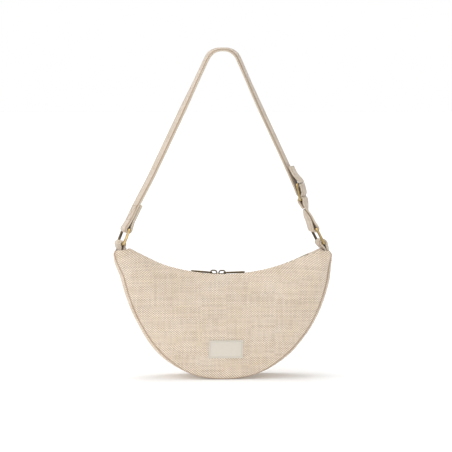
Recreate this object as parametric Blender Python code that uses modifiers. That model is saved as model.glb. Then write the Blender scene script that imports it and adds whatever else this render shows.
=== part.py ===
"""A half-moon shoulder bag hung by the crown of its strap, in metres, +Z up.

The origin is the underside of the strap's crown. The front of the bag faces -Y.
"""

import math

import bmesh
import bpy
from mathutils import Matrix, Vector

# Bag body. Its heights hang from the widest line, and its widths from the horns' tips
widest_drop = 0.327
belly_depth = 0.1882
bag_bottom_drop = widest_drop + belly_depth
horn_rise = 0.0135
horn_outer_drop = widest_drop - horn_rise
zip_dip_depth = 0.0275
zip_dip_drop = widest_drop + zip_dip_depth
top_arc_radius = 0.302
horn_outer_half = 0.1669
side_swell = 0.0036
bag_half_width = horn_outer_half + side_swell
horn_inset = 0.0134
horn_inner_half = horn_outer_half - horn_inset
side_handle = 0.014
base_handle_share = 0.880
horn_handle = 0.006
seam_inset = 0.005
mouth_half_depth = 0.015
base_half_depth = 0.035
front_bulge = 0.016
horn_bulge = 0.0015
bulge_low_share = 0.55
fullness_share = 0.8
panel_thickness = 0.0016
base_flat_rise = 0.0012
seam_setback = 0.0025
horn_fade_share = 0.16
slope_share = 0.004
sewn_gap = 0.0004

# Lining, pocket and label
lining_thickness = 0.0008
lining_clearance = 0.0008
lining_end_share = 0.90
lining_top_share = 0.05
lining_low_share = 0.90
pocket_half_width_share = 0.34
pocket_top_share = 0.28
pocket_low_share = 0.74
pocket_thickness = 0.0008
label_width = 0.053
label_height = 0.028
label_depth = 0.1414
label_drop = widest_drop + label_depth
label_thickness = 0.0008

# Zip
tape_thickness = 0.0008
zip_end_setback = 0.0035
zip_end_half_length = horn_inner_half - zip_end_setback
zip_end_length = 0.0140
chain_half_length = zip_end_half_length - zip_end_length
bead_half_height = 0.0011
bead_inner = 0.0014
bead_outer = 0.0032
tooth_reach = 0.0024
tooth_width = 0.0013
tooth_pitch = 0.0034
tape_clearance = 0.0003
parting = 0.0022
parting_length = 0.0130

# Zip sliders and pull tabs
sliders_meet_at = -0.0080
slider_nose_gap = 0.0003
slider_length = 0.0130
slider_nose_half = 0.0078
slider_tail_half = 0.0058
slider_wall = 0.0009
slider_plate = 0.0011
slider_clearance = 0.0005
slider_slot_half = 0.0010
post_length = 0.0026
post_half_width = 0.0007
post_nose_share = 0.16
arch_wire = 0.0009
arch_bend = 0.0036
arch_straight = 0.0028
pull_length = 0.0340
pull_width = 0.0075
pull_tip_width = 0.0060
pull_thickness = 0.0016
pull_eye_half = 0.0015
pull_eye_wall = 0.0013
pull_gap = 0.0004
pull_tilt = math.radians(2)

# Webbing and hardware
strap_width = 0.025
strap_thickness = 0.0030
layer_gap = 0.0003
crown_half = 0.0185
crown_bend = 0.0230
ring_wire = 0.0020
ring_corner = 0.0034
ring_side_clearance = 0.0010
ring_shift = 0.0028
ring_inset = 0.0079
ring_reach = 0.0095
ring_low_half = horn_outer_half - ring_inset
ring_low_drop = horn_outer_drop - ring_reach
ring_lean = 0.0120
ring_rise = 0.0233
ring_top_half = ring_low_half - ring_lean
ring_top_drop = ring_low_drop - ring_rise
loop_clearance = 0.0004
open_pivot_clearance = 0.0013
fold_length = 0.0300
fold_close = 0.0130
short_strap_length = 0.0495
short_fold_length = 0.0200
glide_wire = 0.0018
glide_pitch = 0.0130
tail_length = 0.0310
tail_close_share = 0.62
tab_drop = 0.0200
tab_shift = 0.0020
tab_close = 0.0085

round_steps = 8
corner_steps = 4
along_steps = 32
down_steps = 8
chain_steps = 48
lining_steps = 24
lining_rows = 18
low_rim_steps = 60
high_rim_steps = 12
follow_steps = 40
run_steps = 8
weld_distance = 1e-6

linen = ("linen", (0.72, 0.62, 0.49, 1), 0.92, 0)
webbing_cloth = ("strap_cloth", (0.73, 0.64, 0.52, 1), 0.92, 0)
lining_cloth = ("lining_cloth", (0.66, 0.58, 0.47, 1), 0.90, 0)
tape_cloth = ("zip_tape_cloth", (0.24, 0.22, 0.14, 1), 0.90, 0)
label_cloth = ("label_cloth", (0.86, 0.84, 0.79, 1), 0.85, 0)
aged_brass = ("aged_brass", (0.34, 0.25, 0.12, 1), 0.38, 1)
zip_resin = ("zip_teeth", (0.21, 0.19, 0.12, 1), 0.45, 0)


def clear_scene():
    for item in list(bpy.data.objects):
        bpy.data.objects.remove(item, do_unlink=True)


def new_collection(name):
    group = bpy.data.collections.new(name)
    bpy.context.scene.collection.children.link(group)
    return group


def finish_material(finish):
    """The Principled material of a finish, made once."""
    name, colour, roughness, metallic = finish
    found = bpy.data.materials.get(name)
    if found:
        return found
    made = bpy.data.materials.new(name)
    made.use_nodes = True
    made.diffuse_color = colour
    shader = made.node_tree.nodes["Principled BSDF"]
    shader.inputs["Base Color"].default_value = colour
    shader.inputs["Roughness"].default_value = roughness
    shader.inputs["Metallic"].default_value = metallic
    return made


def place(name, data, finish, group, parent=None):
    """An object for a mesh or curve whose points are in world space, hung on its parent's axis."""
    made = bpy.data.objects.new(name, data)
    data.materials.append(finish_material(finish))
    group.objects.link(made)
    if parent:
        made.parent = parent
        made.matrix_parent_inverse = parent.matrix_world.inverted()
    return made


def axis_empty(name, point, group, parent=None):
    """An empty on a joint's axis, which runs along Y."""
    made = bpy.data.objects.new(name, None)
    made.empty_display_size = ring_rise
    made.matrix_world = Matrix.Translation(point)
    group.objects.link(made)
    if parent:
        made.parent = parent
        made.matrix_parent_inverse = Matrix.Translation(-parent.matrix_world.translation)
    return made


def mesh_from(shape, name):
    data = bpy.data.meshes.new(name)
    shape.to_mesh(data)
    shape.free()
    return data


def sheet(name, surface, across, along, thickness, finish, group, parent=None, flip=False):
    """A cloth sheet: a grid laid on surface(a, b), both from -1 to 1, with its wall on the inner side."""
    shape = bmesh.new()
    bmesh.ops.create_grid(shape, x_segments=across, y_segments=along, size=1)
    for corner in shape.verts:
        corner.co = surface(corner.co.x, corner.co.y)
    if flip:
        bmesh.ops.reverse_faces(shape, faces=shape.faces)
    made = place(name, mesh_from(shape, name), finish, group, parent)
    wall = made.modifiers.new("Wall", "SOLIDIFY")
    wall.thickness = thickness
    wall.offset = -1
    wall.use_even_offset = False
    return made


def blend(start, end, share):
    return start + (end - start) * share


def cubic(points, t):
    """A point of the cubic curve with these four control points."""
    a, b, c, d = points
    s = 1 - t
    return a * s**3 + b * (3 * s * s * t) + c * (3 * s * t * t) + d * t**3


def flat(x, z):
    return Vector((x, 0, z))


arc_centre_z = top_arc_radius - zip_dip_drop
chain_half_angle = math.asin(chain_half_length / top_arc_radius)
horn_angle = math.asin(horn_inner_half / top_arc_radius)


def on_arc(angle, y, rise=0):
    """A point of the zip's arc, rise above it towards the arc's centre."""
    radius = top_arc_radius - rise
    return Vector((radius * math.sin(angle), y, arc_centre_z - radius * math.cos(angle)))


def rim_half():
    """The lower outline from the horn to the middle of the base, as two cubic curves."""
    horn = flat(horn_outer_half, -horn_outer_drop)
    side = flat(bag_half_width, -widest_drop)
    base = flat(0, -bag_bottom_drop - base_flat_rise)
    upper = (horn, horn + flat(horn_handle, -horn_handle), side + flat(0, horn_handle), side)
    base_handle = bag_half_width * base_handle_share
    lower = (side, side - flat(0, side_handle), base + flat(base_handle, 0), base)
    return upper, lower


def measured_rim(inset):
    """Points of the rim from the base's middle to the horn, moved in by inset, with their run."""
    upper, lower = rim_half()
    raw = [cubic(lower, 1 - i / low_rim_steps) for i in range(low_rim_steps)]
    raw += [cubic(upper, 1 - i / high_rim_steps) for i in range(high_rim_steps + 1)]
    moved = []
    for i, point in enumerate(raw):
        tangent = raw[min(i + 1, len(raw) - 1)] - raw[max(i - 1, 0)]
        inward = flat(-tangent.z, tangent.x).normalized()
        fade = min(1, (len(raw) - 1 - i) / (len(raw) * horn_fade_share))
        moved.append(point + inward * inset * fade)
    run = [0]
    for a, b in zip(moved, moved[1:]):
        run.append(run[-1] + (b - a).length)
    return moved, run


rim_tables = {}


def rim_inward(u):
    """The direction into the bag, square to the rim."""
    along = rim(min(u + slope_share, 1), 0) - rim(max(u - slope_share, -1), 0)
    return flat(-along.z, along.x).normalized()


def rim(u, inset):
    """The rim at share u of its length, -1 at the left horn and 1 at the right."""
    if inset not in rim_tables:
        rim_tables[inset] = measured_rim(inset)
    points, run = rim_tables[inset]
    target = abs(u) * run[-1]
    i = next((k for k in range(len(run) - 1) if run[k + 1] >= target), len(run) - 2)
    point = blend(points[i], points[i + 1], (target - run[i]) / (run[i + 1] - run[i]))
    return flat(math.copysign(point.x, u) if u else 0, point.z)


def crown_share(u):
    """1 in the bag's middle, 0 at the horns."""
    return math.cos(min(abs(u), 1) * math.pi / 2)


def gusset_half(u):
    return blend(mouth_half_depth, base_half_depth, crown_share(u) ** fullness_share)


def panel_half(u, v):
    """Half the bag's depth over the panel, v from 0 at the mouth to 1 at the base seam."""
    swell = blend(horn_bulge, front_bulge, crown_share(u) ** fullness_share)
    shaped = math.sin(math.pi * v ** (1 / (2 * bulge_low_share)))
    return blend(mouth_half_depth, gusset_half(u), v) + swell * max(shaped, 0)


def panel_point(u, v, side=-1, depth=0):
    """A point on a panel, depth below its outer face."""
    top = on_arc(u * horn_angle, 0)
    low = rim(u, seam_inset)
    point = blend(top, low, v)
    point.y = side * panel_half(u, v)
    if depth:
        point -= panel_normal(u, v, side) * depth
    return point


def panel_normal(u, v, side):
    """The panel's outward direction, from points a small share to each side."""
    u = max(min(u, 1 - slope_share), slope_share - 1)
    v = max(min(v, 1 - slope_share), slope_share)
    du = panel_point(u + slope_share, v, side) - panel_point(u - slope_share, v, side)
    dv = panel_point(u, v + slope_share, side) - panel_point(u, v - slope_share, side)
    normal = du.cross(dv).normalized()
    return normal if normal.y * side > 0 else -normal


def gusset_point(u, w, depth=0):
    """A point on the gusset, w from -1 at the front seam to 1 at the back seam."""
    low = rim(u, seam_inset)
    outer = rim(u, 0)
    swell = math.cos(w * math.pi / 2)
    point = blend(low, outer, swell) + rim_inward(u) * depth
    point.z = max(point.z, -bag_bottom_drop + depth)
    point.y = w * (gusset_half(u) - seam_setback)
    return point


def build_panels(group, bag_axis):
    for name, side in (("front_panel", -1), ("back_panel", 1)):
        sheet(
            name,
            lambda a, b, side=side: panel_point(a, (1 - b) / 2, side),
            along_steps,
            down_steps,
            panel_thickness,
            linen,
            group,
            bag_axis,
            flip=side > 0,
        )
    sheet("gusset", gusset_point, along_steps, down_steps, panel_thickness, linen, group, bag_axis, flip=True)


def lining_point(a, b):
    """The lining's section runs down the front, across the base and up the back."""
    u = a * lining_end_share
    depth = panel_thickness + lining_clearance
    base_share = 1 / 3
    if abs(b) > base_share:
        share = (1 - abs(b)) / (1 - base_share)
        v = blend(lining_top_share, lining_low_share, share)
        return panel_point(u, v, math.copysign(1, b), depth)
    inner = gusset_point(u, b / base_share * lining_low_share, depth)
    inner.z = max(inner.z, -bag_bottom_drop + depth)
    return inner


def build_lining(group, bag_axis):
    sheet(
        "lining",
        lining_point,
        lining_steps,
        lining_rows,
        lining_thickness,
        lining_cloth,
        group,
        bag_axis,
        flip=True,
    )
    depth = panel_thickness + lining_clearance + lining_thickness + sewn_gap

    def pocket_point(a, b):
        v = blend(pocket_low_share, pocket_top_share, (b + 1) / 2)
        return panel_point(a * pocket_half_width_share, v, 1, depth)

    sheet("inner_pocket", pocket_point, 10, 5, pocket_thickness, lining_cloth, group, bag_axis, flip=True)


def on_front(x, z):
    """The panel's two shares at a place seen from the front, found by halving and following."""
    u, v = x / bag_half_width, 1 / 2
    for _ in range(follow_steps):
        top = on_arc(u * horn_angle, 0)
        low = rim(u, seam_inset)
        v = (top.z - z) / (top.z - low.z)
        u += (x - blend(top.x, low.x, v)) / (2 * bag_half_width)
    return u, v


def build_label(group, bag_axis):
    def label_point(a, b):
        u, v = on_front(a * label_width / 2, -label_drop + b * label_height / 2)
        return panel_point(u, v, -1, -sewn_gap - label_thickness)

    sheet("woven_label", label_point, 6, 4, label_thickness, label_cloth, group, bag_axis)


def opened(angle):
    """How far each zip row stands off its closed place round the sliders' posts."""
    run = (angle * top_arc_radius - sliders_meet_at) / parting_length
    return parting * math.cos(run * math.pi / 2) ** 2 if abs(run) < 1 else 0


def build_tapes(group, bag_axis):
    outer = mouth_half_depth - panel_thickness - sewn_gap
    for name, side in (("front_zip_tape", -1), ("back_zip_tape", 1)):

        def tape_point(a, b, side=side):
            angle = a * chain_half_angle
            inner = bead_outer + tape_clearance + opened(angle)
            y = blend(outer, inner, (1 - b * side) / 2 if side > 0 else (1 + b) / 2)
            return on_arc(angle, side * y, tape_thickness / 2)

        sheet(name, tape_point, chain_steps, 1, tape_thickness, tape_cloth, group, bag_axis)
    end_angle = math.asin(zip_end_half_length / top_arc_radius)
    start_angle = chain_half_angle + tape_clearance / top_arc_radius
    for name, hand in (("left_zip_end", -1), ("right_zip_end", 1)):

        def end_point(a, b, hand=hand):
            angle = hand * blend(start_angle, end_angle, (1 + hand * a) / 2)
            return on_arc(angle, b * outer, panel_thickness / 2)

        sheet(name, end_point, corner_steps, corner_steps, panel_thickness, linen, group, bag_axis)


def zip_row(name, side, group, bag_axis):
    """One row: a bead along the tape with a tooth drawn out of every second stretch of it."""
    count = int(2 * chain_half_length / tooth_pitch)
    pitch_angle = 2 * chain_half_angle / (count + 1)
    tooth_share = tooth_width / tooth_pitch
    edges = []
    offset = 0 if side < 0 else 1 / 2
    for i in range(count):
        start = i + offset
        edges += [start, start + tooth_share]
    edges.append(count + offset)
    angles = [-chain_half_angle + pitch_angle * edge for edge in edges]
    if angles[0] > -chain_half_angle:
        angles.insert(0, -chain_half_angle)
    teeth_start = len(angles) - len(edges)
    shape = bmesh.new()
    bmesh.ops.create_cube(shape, size=1)
    long_edges = [e for e in shape.edges if abs(e.verts[0].co.x - e.verts[1].co.x) > tooth_share]
    bmesh.ops.subdivide_edges(shape, edges=long_edges, cuts=len(angles) - 2, use_grid_fill=True)

    def number(corner):
        return round((corner.co.x + 1 / 2) * (len(angles) - 1))

    inner_faces = {}
    for face in shape.faces:
        if face.normal.y > tooth_share:
            inner_faces[min(number(corner) for corner in face.verts)] = face
    for corner in shape.verts:
        angle = angles[number(corner)]
        inner = corner.co.y > 0
        reach = (bead_inner if inner else bead_outer) + opened(angle)
        rise = math.copysign(bead_half_height, corner.co.z)
        corner.co = on_arc(angle, -reach, rise)
    teeth = [inner_faces[i] for i in range(teeth_start, len(angles) - 1, 2) if i in inner_faces]
    drawn = bmesh.ops.extrude_discrete_faces(shape, faces=teeth)
    for face in drawn["faces"]:
        bmesh.ops.translate(shape, verts=face.verts, vec=(0, tooth_reach, 0))
    if side > 0:
        bmesh.ops.scale(shape, vec=(1, -1, 1), verts=shape.verts)
    bmesh.ops.recalc_face_normals(shape, faces=shape.faces)
    place(name, mesh_from(shape, name), zip_resin, group, bag_axis)


def build_chain(group, bag_axis):
    zip_row("front_zip_teeth", -1, group, bag_axis)
    zip_row("back_zip_teeth", 1, group, bag_axis)


def tapered_block(start, end, half_start, half_end, low, high):
    """A block along X whose half width goes from one value to the other."""
    shape = bmesh.new()
    bmesh.ops.create_cube(shape, size=1)
    for corner in shape.verts:
        at_end = corner.co.x > 0
        half = half_end if at_end else half_start
        corner.co = Vector(
            (
                end if at_end else start,
                math.copysign(half, corner.co.y),
                high if corner.co.z > 0 else low,
            )
        )
    bmesh.ops.recalc_face_normals(shape, faces=shape.faces)
    return shape


def to_slider(hand):
    """From a slider's own frame, X outward from its nose and Z up, to its place on the arc."""
    turn = Matrix.Diagonal((hand, 1, 1, 1))
    nose_angle = (sliders_meet_at + hand * (slider_nose_gap + slider_length / 2)) / top_arc_radius
    down = Matrix.Translation((0, 0, -top_arc_radius))
    back = Matrix.Translation((-slider_length / 2, 0, 0))
    swing = Matrix.Rotation(-nose_angle, 4, "Y")
    return Matrix.Translation((0, 0, arc_centre_z)) @ swing @ down @ turn @ back


def in_place(shape, matrix):
    bmesh.ops.transform(shape, matrix=matrix, verts=shape.verts)
    bmesh.ops.recalc_face_normals(shape, faces=shape.faces)
    return shape


def boolean(made, cutter, operation):
    step = made.modifiers.new(operation.title(), "BOOLEAN")
    step.operation = operation
    step.solver = "EXACT"
    step.object = cutter


def helper(name, data, cutters):
    made = bpy.data.objects.new(name, data)
    made.hide_render = True
    made.display_type = "WIRE"
    cutters.objects.link(made)
    return made


def round_bar(name, points, radius, resolution, cyclic=False):
    """A wire along the points, as a curve with filled caps."""
    data = bpy.data.curves.new(name, "CURVE")
    data.dimensions = "3D"
    data.bevel_depth = radius
    data.bevel_resolution = resolution
    data.use_fill_caps = not cyclic
    line = data.splines.new("POLY")
    line.points.add(len(points) - 1)
    for spot, point in zip(line.points, points):
        spot.co = (*point, 1)
    line.use_cyclic_u = cyclic
    return data


def curve_to_mesh(name, data):
    """The curve's solid as a welded mesh."""
    holder = bpy.data.objects.new(name, data)
    bpy.context.scene.collection.objects.link(holder)
    bpy.context.view_layer.update()
    graph = bpy.context.evaluated_depsgraph_get()
    made = bpy.data.meshes.new_from_object(holder.evaluated_get(graph))
    bpy.data.objects.remove(holder, do_unlink=True)
    shape = bmesh.new()
    shape.from_mesh(made)
    bmesh.ops.remove_doubles(shape, verts=shape.verts, dist=weld_distance)
    bmesh.ops.recalc_face_normals(shape, faces=shape.faces)
    shape.to_mesh(made)
    shape.free()
    return made


slider_inner_half = bead_half_height + slider_clearance
plate_top = slider_inner_half + slider_plate
pull_pivot_rise = plate_top + pull_gap + pull_thickness / 2
arch_middle = slider_length / 2


def arch_points():
    """The slider's bridge: two upright legs, a quarter turn on each and a straight top."""
    outer = arch_middle + arch_straight / 2
    inner = arch_middle - arch_straight / 2
    foot = plate_top - slider_plate / 2
    points = [Vector((inner - arch_bend, 0, foot))]
    for i in range(round_steps + 1):
        turn = math.pi / 2 * i / round_steps
        points.append(
            Vector((inner - arch_bend * math.cos(turn), 0, pull_pivot_rise + arch_bend * math.sin(turn)))
        )
    for i in range(round_steps + 1):
        turn = math.pi / 2 * (1 - i / round_steps)
        points.append(
            Vector((outer + arch_bend * math.cos(turn), 0, pull_pivot_rise + arch_bend * math.sin(turn)))
        )
    points.append(Vector((outer + arch_bend, 0, foot)))
    return points


def build_slider(hand, word, group, cutters, slider_axis):
    """A slider body: wedge block, tunnel for the teeth, slot for the tapes, post and bridge."""
    seat = to_slider(hand)
    name = f"{word}_slider"
    block = tapered_block(
        0, slider_length, slider_nose_half, slider_tail_half, -plate_top, plate_top
    )
    made = place(name, mesh_from(in_place(block, seat), name), aged_brass, group, slider_axis)
    overrun = slider_wall
    tunnel = tapered_block(
        -overrun,
        slider_length + overrun,
        slider_nose_half - slider_wall,
        slider_tail_half - slider_wall,
        -slider_inner_half,
        slider_inner_half,
    )
    slot = tapered_block(
        -overrun,
        slider_length + overrun,
        slider_nose_half + overrun,
        slider_nose_half + overrun,
        -slider_slot_half,
        slider_slot_half,
    )
    post_start = slider_length * post_nose_share
    post = tapered_block(
        post_start - post_length / 2,
        post_start + post_length / 2,
        post_half_width,
        post_half_width,
        -plate_top + slider_plate / 2,
        plate_top - slider_plate / 2,
    )
    boolean(made, helper(name + "_tunnel", mesh_from(in_place(tunnel, seat), name), cutters), "DIFFERENCE")
    boolean(made, helper(name + "_slot", mesh_from(in_place(slot, seat), name), cutters), "DIFFERENCE")
    boolean(made, helper(name + "_post", mesh_from(in_place(post, seat), name), cutters), "UNION")
    bridge = curve_to_mesh(name, round_bar(name, [seat @ p for p in arch_points()], arch_wire, 1))
    boolean(made, helper(name + "_bridge", bridge, cutters), "UNION")


def pull_pivot(hand):
    return to_slider(hand) @ Vector((arch_middle + arch_straight / 2, 0, pull_pivot_rise))


def build_pull(hand, word, group, cutters, pull_axis):
    """A flat pull tab whose eye rides the bridge's outer bend."""
    pivot = Vector((arch_middle + arch_straight / 2, 0, pull_pivot_rise))
    tilt = Matrix.Translation(pivot) @ Matrix.Rotation(-pull_tilt, 4, "Y")
    seat = to_slider(hand) @ tilt
    name = f"{word}_pull"
    start = arch_bend - pull_eye_half - pull_eye_wall
    half = pull_thickness / 2
    body = tapered_block(start, start + pull_length, pull_width / 2, pull_tip_width / 2, -half, half)
    upright = [e for e in body.edges if abs(e.verts[0].co.z - e.verts[1].co.z) > half]
    bmesh.ops.bevel(
        body,
        geom=upright,
        offset=pull_tip_width / 3,
        segments=3,
        profile=1 / 2,
        affect="EDGES",
        material=-1,
    )
    made = place(name, mesh_from(in_place(body, seat), name), aged_brass, group, pull_axis)
    eye = tapered_block(
        arch_bend - pull_eye_half,
        arch_bend + pull_eye_half,
        pull_eye_half,
        pull_eye_half,
        -pull_thickness,
        pull_thickness,
    )
    boolean(made, helper(name + "_eye", mesh_from(in_place(eye, seat), name), cutters), "DIFFERENCE")


def arc_about(centre, radius, start, end, steps=round_steps):
    """Points from one direction to another, angles from +X towards +Z."""
    return [
        centre + flat(math.cos(a), math.sin(a)) * radius
        for a in (blend(start, end, i / steps) for i in range(steps + 1))
    ]


def band(name, route, group, parent=None, finish=webbing_cloth):
    """Webbing of the strap's width along a route in the XZ plane."""
    last = len(route) - 1

    def spot(a, b):
        point = route[round((a + 1) / 2 * last)]
        return Vector((point.x, b * strap_width / 2, point.z))

    made = sheet(name, spot, last, 2, strap_thickness, finish, group, parent)
    made.modifiers["Wall"].offset = 0
    made.modifiers["Wall"].use_even_offset = True
    return made


# The bag hangs a little to the left, so both rings stand that far over
ring_top = {
    "left": flat(-ring_shift - ring_top_half, -ring_top_drop),
    "right": flat(ring_top_half - ring_shift, -ring_top_drop),
}
ring_low = {
    "left": flat(-ring_shift - ring_low_half, -ring_low_drop),
    "right": flat(ring_low_half - ring_shift, -ring_low_drop),
}
crown_corner = {
    "left": flat(-crown_half, strap_thickness / 2),
    "right": flat(crown_half, strap_thickness / 2),
}
ring_loop = ring_wire + loop_clearance + strap_thickness / 2
glide_loop = glide_wire + loop_clearance + strap_thickness / 2
layer_half = (strap_thickness + layer_gap) / 2


def run_frame(word):
    """Direction up a side's straight run, and its outward normal."""
    up = (crown_corner[word] - ring_top[word]).normalized()
    outward = flat(-up.z, up.x) if word == "left" else flat(up.z, -up.x)
    return up, outward


def heading(vector):
    return math.atan2(vector.z, vector.x)


def crown_route(word):
    """The bend at one end of the crown, from the run to the flat."""
    up, outward = run_frame(word)
    corner = crown_corner[word]
    sideways = heading(outward)
    turn = abs(math.pi / 2 - sideways)
    centre = corner - (up.normalized() + flat(math.copysign(1, corner.x), 0)).normalized() * (
        crown_bend / math.cos(turn / 2)
    )
    return arc_about(centre, crown_bend, sideways, math.pi / 2)


def spaced(start, end, count):
    """Points between two ends, the ends left out."""
    return [blend(start, end, i / (count + 1)) for i in range(1, count + 1)]


def glide_places():
    """The adjuster's lower, middle and upper bars. The lower bar lies on the strap's line of pull."""
    up, outward = run_frame("right")
    low = ring_top["right"] + up * short_strap_length
    rise = math.sqrt(glide_pitch**2 - glide_loop**2)
    middle = low + up * rise + outward * glide_loop
    return low, middle, middle * 2 - low


def strap_route():
    """The long strap: sewn fold on the left ring, crown, right run, wrap on the adjuster's middle bar."""
    up, outward = run_frame("left")
    bar = ring_top["left"]
    inner_side = heading(-outward)
    points = [bar + up * (fold_close + fold_length) - outward * layer_half]
    points += spaced(points[0], bar + up * fold_close - outward * layer_half, 2)
    points.append(bar + up * fold_close - outward * layer_half)
    points += arc_about(bar, ring_loop, inner_side, inner_side - math.pi)
    points.append(bar + up * fold_close + outward * layer_half)
    bend = crown_route("left")
    points += spaced(points[-1], bend[0], run_steps)
    points += bend
    right_bend = crown_route("right")
    right_bend.reverse()
    points += right_bend
    low, middle, top = glide_places()
    right_up, right_out = run_frame("right")
    glide_up = (top - middle).normalized()
    glide_out = flat(glide_up.z, -glide_up.x)
    touch = middle - right_out * glide_loop
    points += spaced(points[-1], touch, run_steps)
    start = heading(-right_out) - 2 * math.pi if heading(-right_out) > 0 else heading(-right_out)
    points += arc_about(middle, glide_loop, start, heading(glide_out))
    points.append(top + glide_out * glide_loop)
    return points


def tail_route():
    """The strap's free end, which lies up the outer side of the right run above the adjuster."""
    low, middle, top = glide_places()
    up, outward = run_frame("right")
    glide_up = (top - middle).normalized()
    glide_out = flat(glide_up.z, -glide_up.x)
    start = top + glide_out * glide_loop + glide_up * strap_thickness / 4
    along = (top - low).dot(up) + short_strap_length
    settled = ring_top["right"] + up * (along + tail_length * tail_close_share) + outward * 2 * layer_half
    end = ring_top["right"] + up * (along + tail_length) + outward * 2 * layer_half
    reach = (settled - start).length / 3
    curve = (start, start + glide_up * reach, settled - up * reach, settled)
    return [cubic(curve, i / round_steps) for i in range(round_steps + 1)] + [end]


def short_strap_route():
    """The short strap: folded round the right ring and the adjuster's lower bar, its ends sewn down."""
    up, outward = run_frame("right")
    low = glide_places()[0]
    bar = ring_top["right"]
    inner_side = heading(-outward)
    outer_side = heading(outward)
    points = [bar + up * short_fold_length - outward * layer_half]
    points.append(bar + up * fold_close - outward * layer_half)
    points += arc_about(bar, ring_loop, inner_side, inner_side + math.pi)
    points.append(bar + up * fold_close + outward * layer_half)
    points.append(low - up * fold_close + outward * layer_half)
    points += arc_about(low, glide_loop, outer_side, outer_side + math.pi)
    points.append(low - up * fold_close - outward * layer_half)
    points.append(low - up * short_fold_length - outward * layer_half)
    return points


def tab_route(word, clearance):
    """A ring tab: folded over the ring's lower bar, both layers running down into the horn."""
    bar = ring_low[word]
    hand = math.copysign(1, bar.x)
    radius = ring_wire + clearance + strap_thickness / 2
    root = flat(hand * (ring_low_half + tab_shift), bar.z - tab_drop)
    close = bar + flat(tab_shift, -tab_close)
    points = [root - flat(hand * layer_half, 0), close - flat(hand * layer_half, 0)]
    inner = math.pi if hand > 0 else 0
    points += arc_about(bar, radius, inner, math.pi - inner)
    points += [close + flat(hand * layer_half, 0), root + flat(hand * layer_half, 0)]
    return points


def ring_points(word):
    """The rectangular ring's wire, in the plane through its two bars."""
    top, low = ring_top[word], ring_low[word]
    down = (low - top).normalized()
    across = Vector((0, 1, 0))
    half = strap_width / 2 + ring_side_clearance + ring_wire
    middle = (top + low) / 2
    rise = (low - top).length / 2 - ring_corner
    points = []
    for corner in range(4):
        side = 1 if corner in (0, 3) else -1
        along = 1 if corner in (0, 1) else -1
        centre = middle + across * side * (half - ring_corner) + down * along * rise
        for i in range(corner_steps + 1):
            turn = math.pi / 2 * (corner + i / corner_steps)
            points.append(centre + (across * math.cos(turn) + down * math.sin(turn)) * ring_corner)
    return points


def build_webbing(group, empties):
    band("strap", strap_route(), group)
    band("strap_tail", tail_route(), group, empties["tail"])
    band("short_strap", short_strap_route(), group)
    band("left_tab", tab_route("left", loop_clearance), group, empties["bag"])
    band("right_tab", tab_route("right", open_pivot_clearance), group, empties["bag"])


def build_rings(group, empties):
    for word in ("left", "right"):
        data = round_bar(f"{word}_ring", ring_points(word), ring_wire, 2, cyclic=True)
        place(f"{word}_ring", data, aged_brass, group, empties[f"{word}_ring"])


def glide_bar(centre, half):
    across = Vector((0, half, 0))
    return [centre - across, centre + across]


def build_adjuster(group, cutters):
    """The adjuster: two cast side rails joined by three round bars."""
    low, middle, top = glide_places()
    half = strap_width / 2 + ring_side_clearance + glide_wire
    centres = [centre + Vector((0, side * half, 0)) for centre, side in ((low, -1), (low, 1), (top, 1), (top, -1))]
    data = round_bar("adjuster", centres, glide_wire, 2, cyclic=True)
    made = place("adjuster", curve_to_mesh("adjuster", data), aged_brass, group)
    bar = curve_to_mesh("adjuster_bar", round_bar("adjuster_bar", glide_bar(middle, half), glide_wire, 2))
    boolean(made, helper("adjuster_bar", bar, cutters), "UNION")


def smooth_round_pieces(group):
    for item in group.objects:
        if item.type == "MESH":
            item.data.shade_smooth()
            item.data.set_sharp_from_angle(angle=math.radians(35))


def main():
    clear_scene()
    group = new_collection("half_moon_bag")
    cutters = new_collection("cutters")
    empties = {
        "left_ring": axis_empty("left_ring_axis", ring_top["left"], group),
        "right_ring": axis_empty("right_ring_axis", ring_top["right"], group),
        "tail": axis_empty("tail_slide", glide_places()[2], group),
    }
    empties["bag"] = axis_empty("bag_axis", ring_low["left"], group, empties["left_ring"])
    bpy.context.view_layer.update()
    build_panels(group, empties["bag"])
    build_lining(group, empties["bag"])
    build_label(group, empties["bag"])
    build_tapes(group, empties["bag"])
    build_chain(group, empties["bag"])
    for word, hand in (("left", -1), ("right", 1)):
        slider_axis = axis_empty(f"{word}_slider_axis", flat(0, arc_centre_z), group, empties["bag"])
        bpy.context.view_layer.update()
        pull_axis = axis_empty(f"{word}_pull_axis", pull_pivot(hand), group, slider_axis)
        bpy.context.view_layer.update()
        build_slider(hand, word, group, cutters, slider_axis)
        build_pull(hand, word, group, cutters, pull_axis)
    build_webbing(group, empties)
    build_rings(group, empties)
    build_adjuster(group, cutters)
    smooth_round_pieces(group)


main()
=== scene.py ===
"""Looks of a half-moon shoulder bag: canvas shell, curved zip, webbing and aged brass fittings.

All sizes are in metres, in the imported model's own frame: +Z up, front towards -Y, origin under the
strap's crown.
"""

import logging
from bisect import bisect_left
from collections.abc import Callable, Sequence
from dataclasses import dataclass
from enum import Enum
from math import asin, atan2, ceil, copysign, cos, exp, hypot, pi, radians, sin, sqrt, tan

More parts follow.
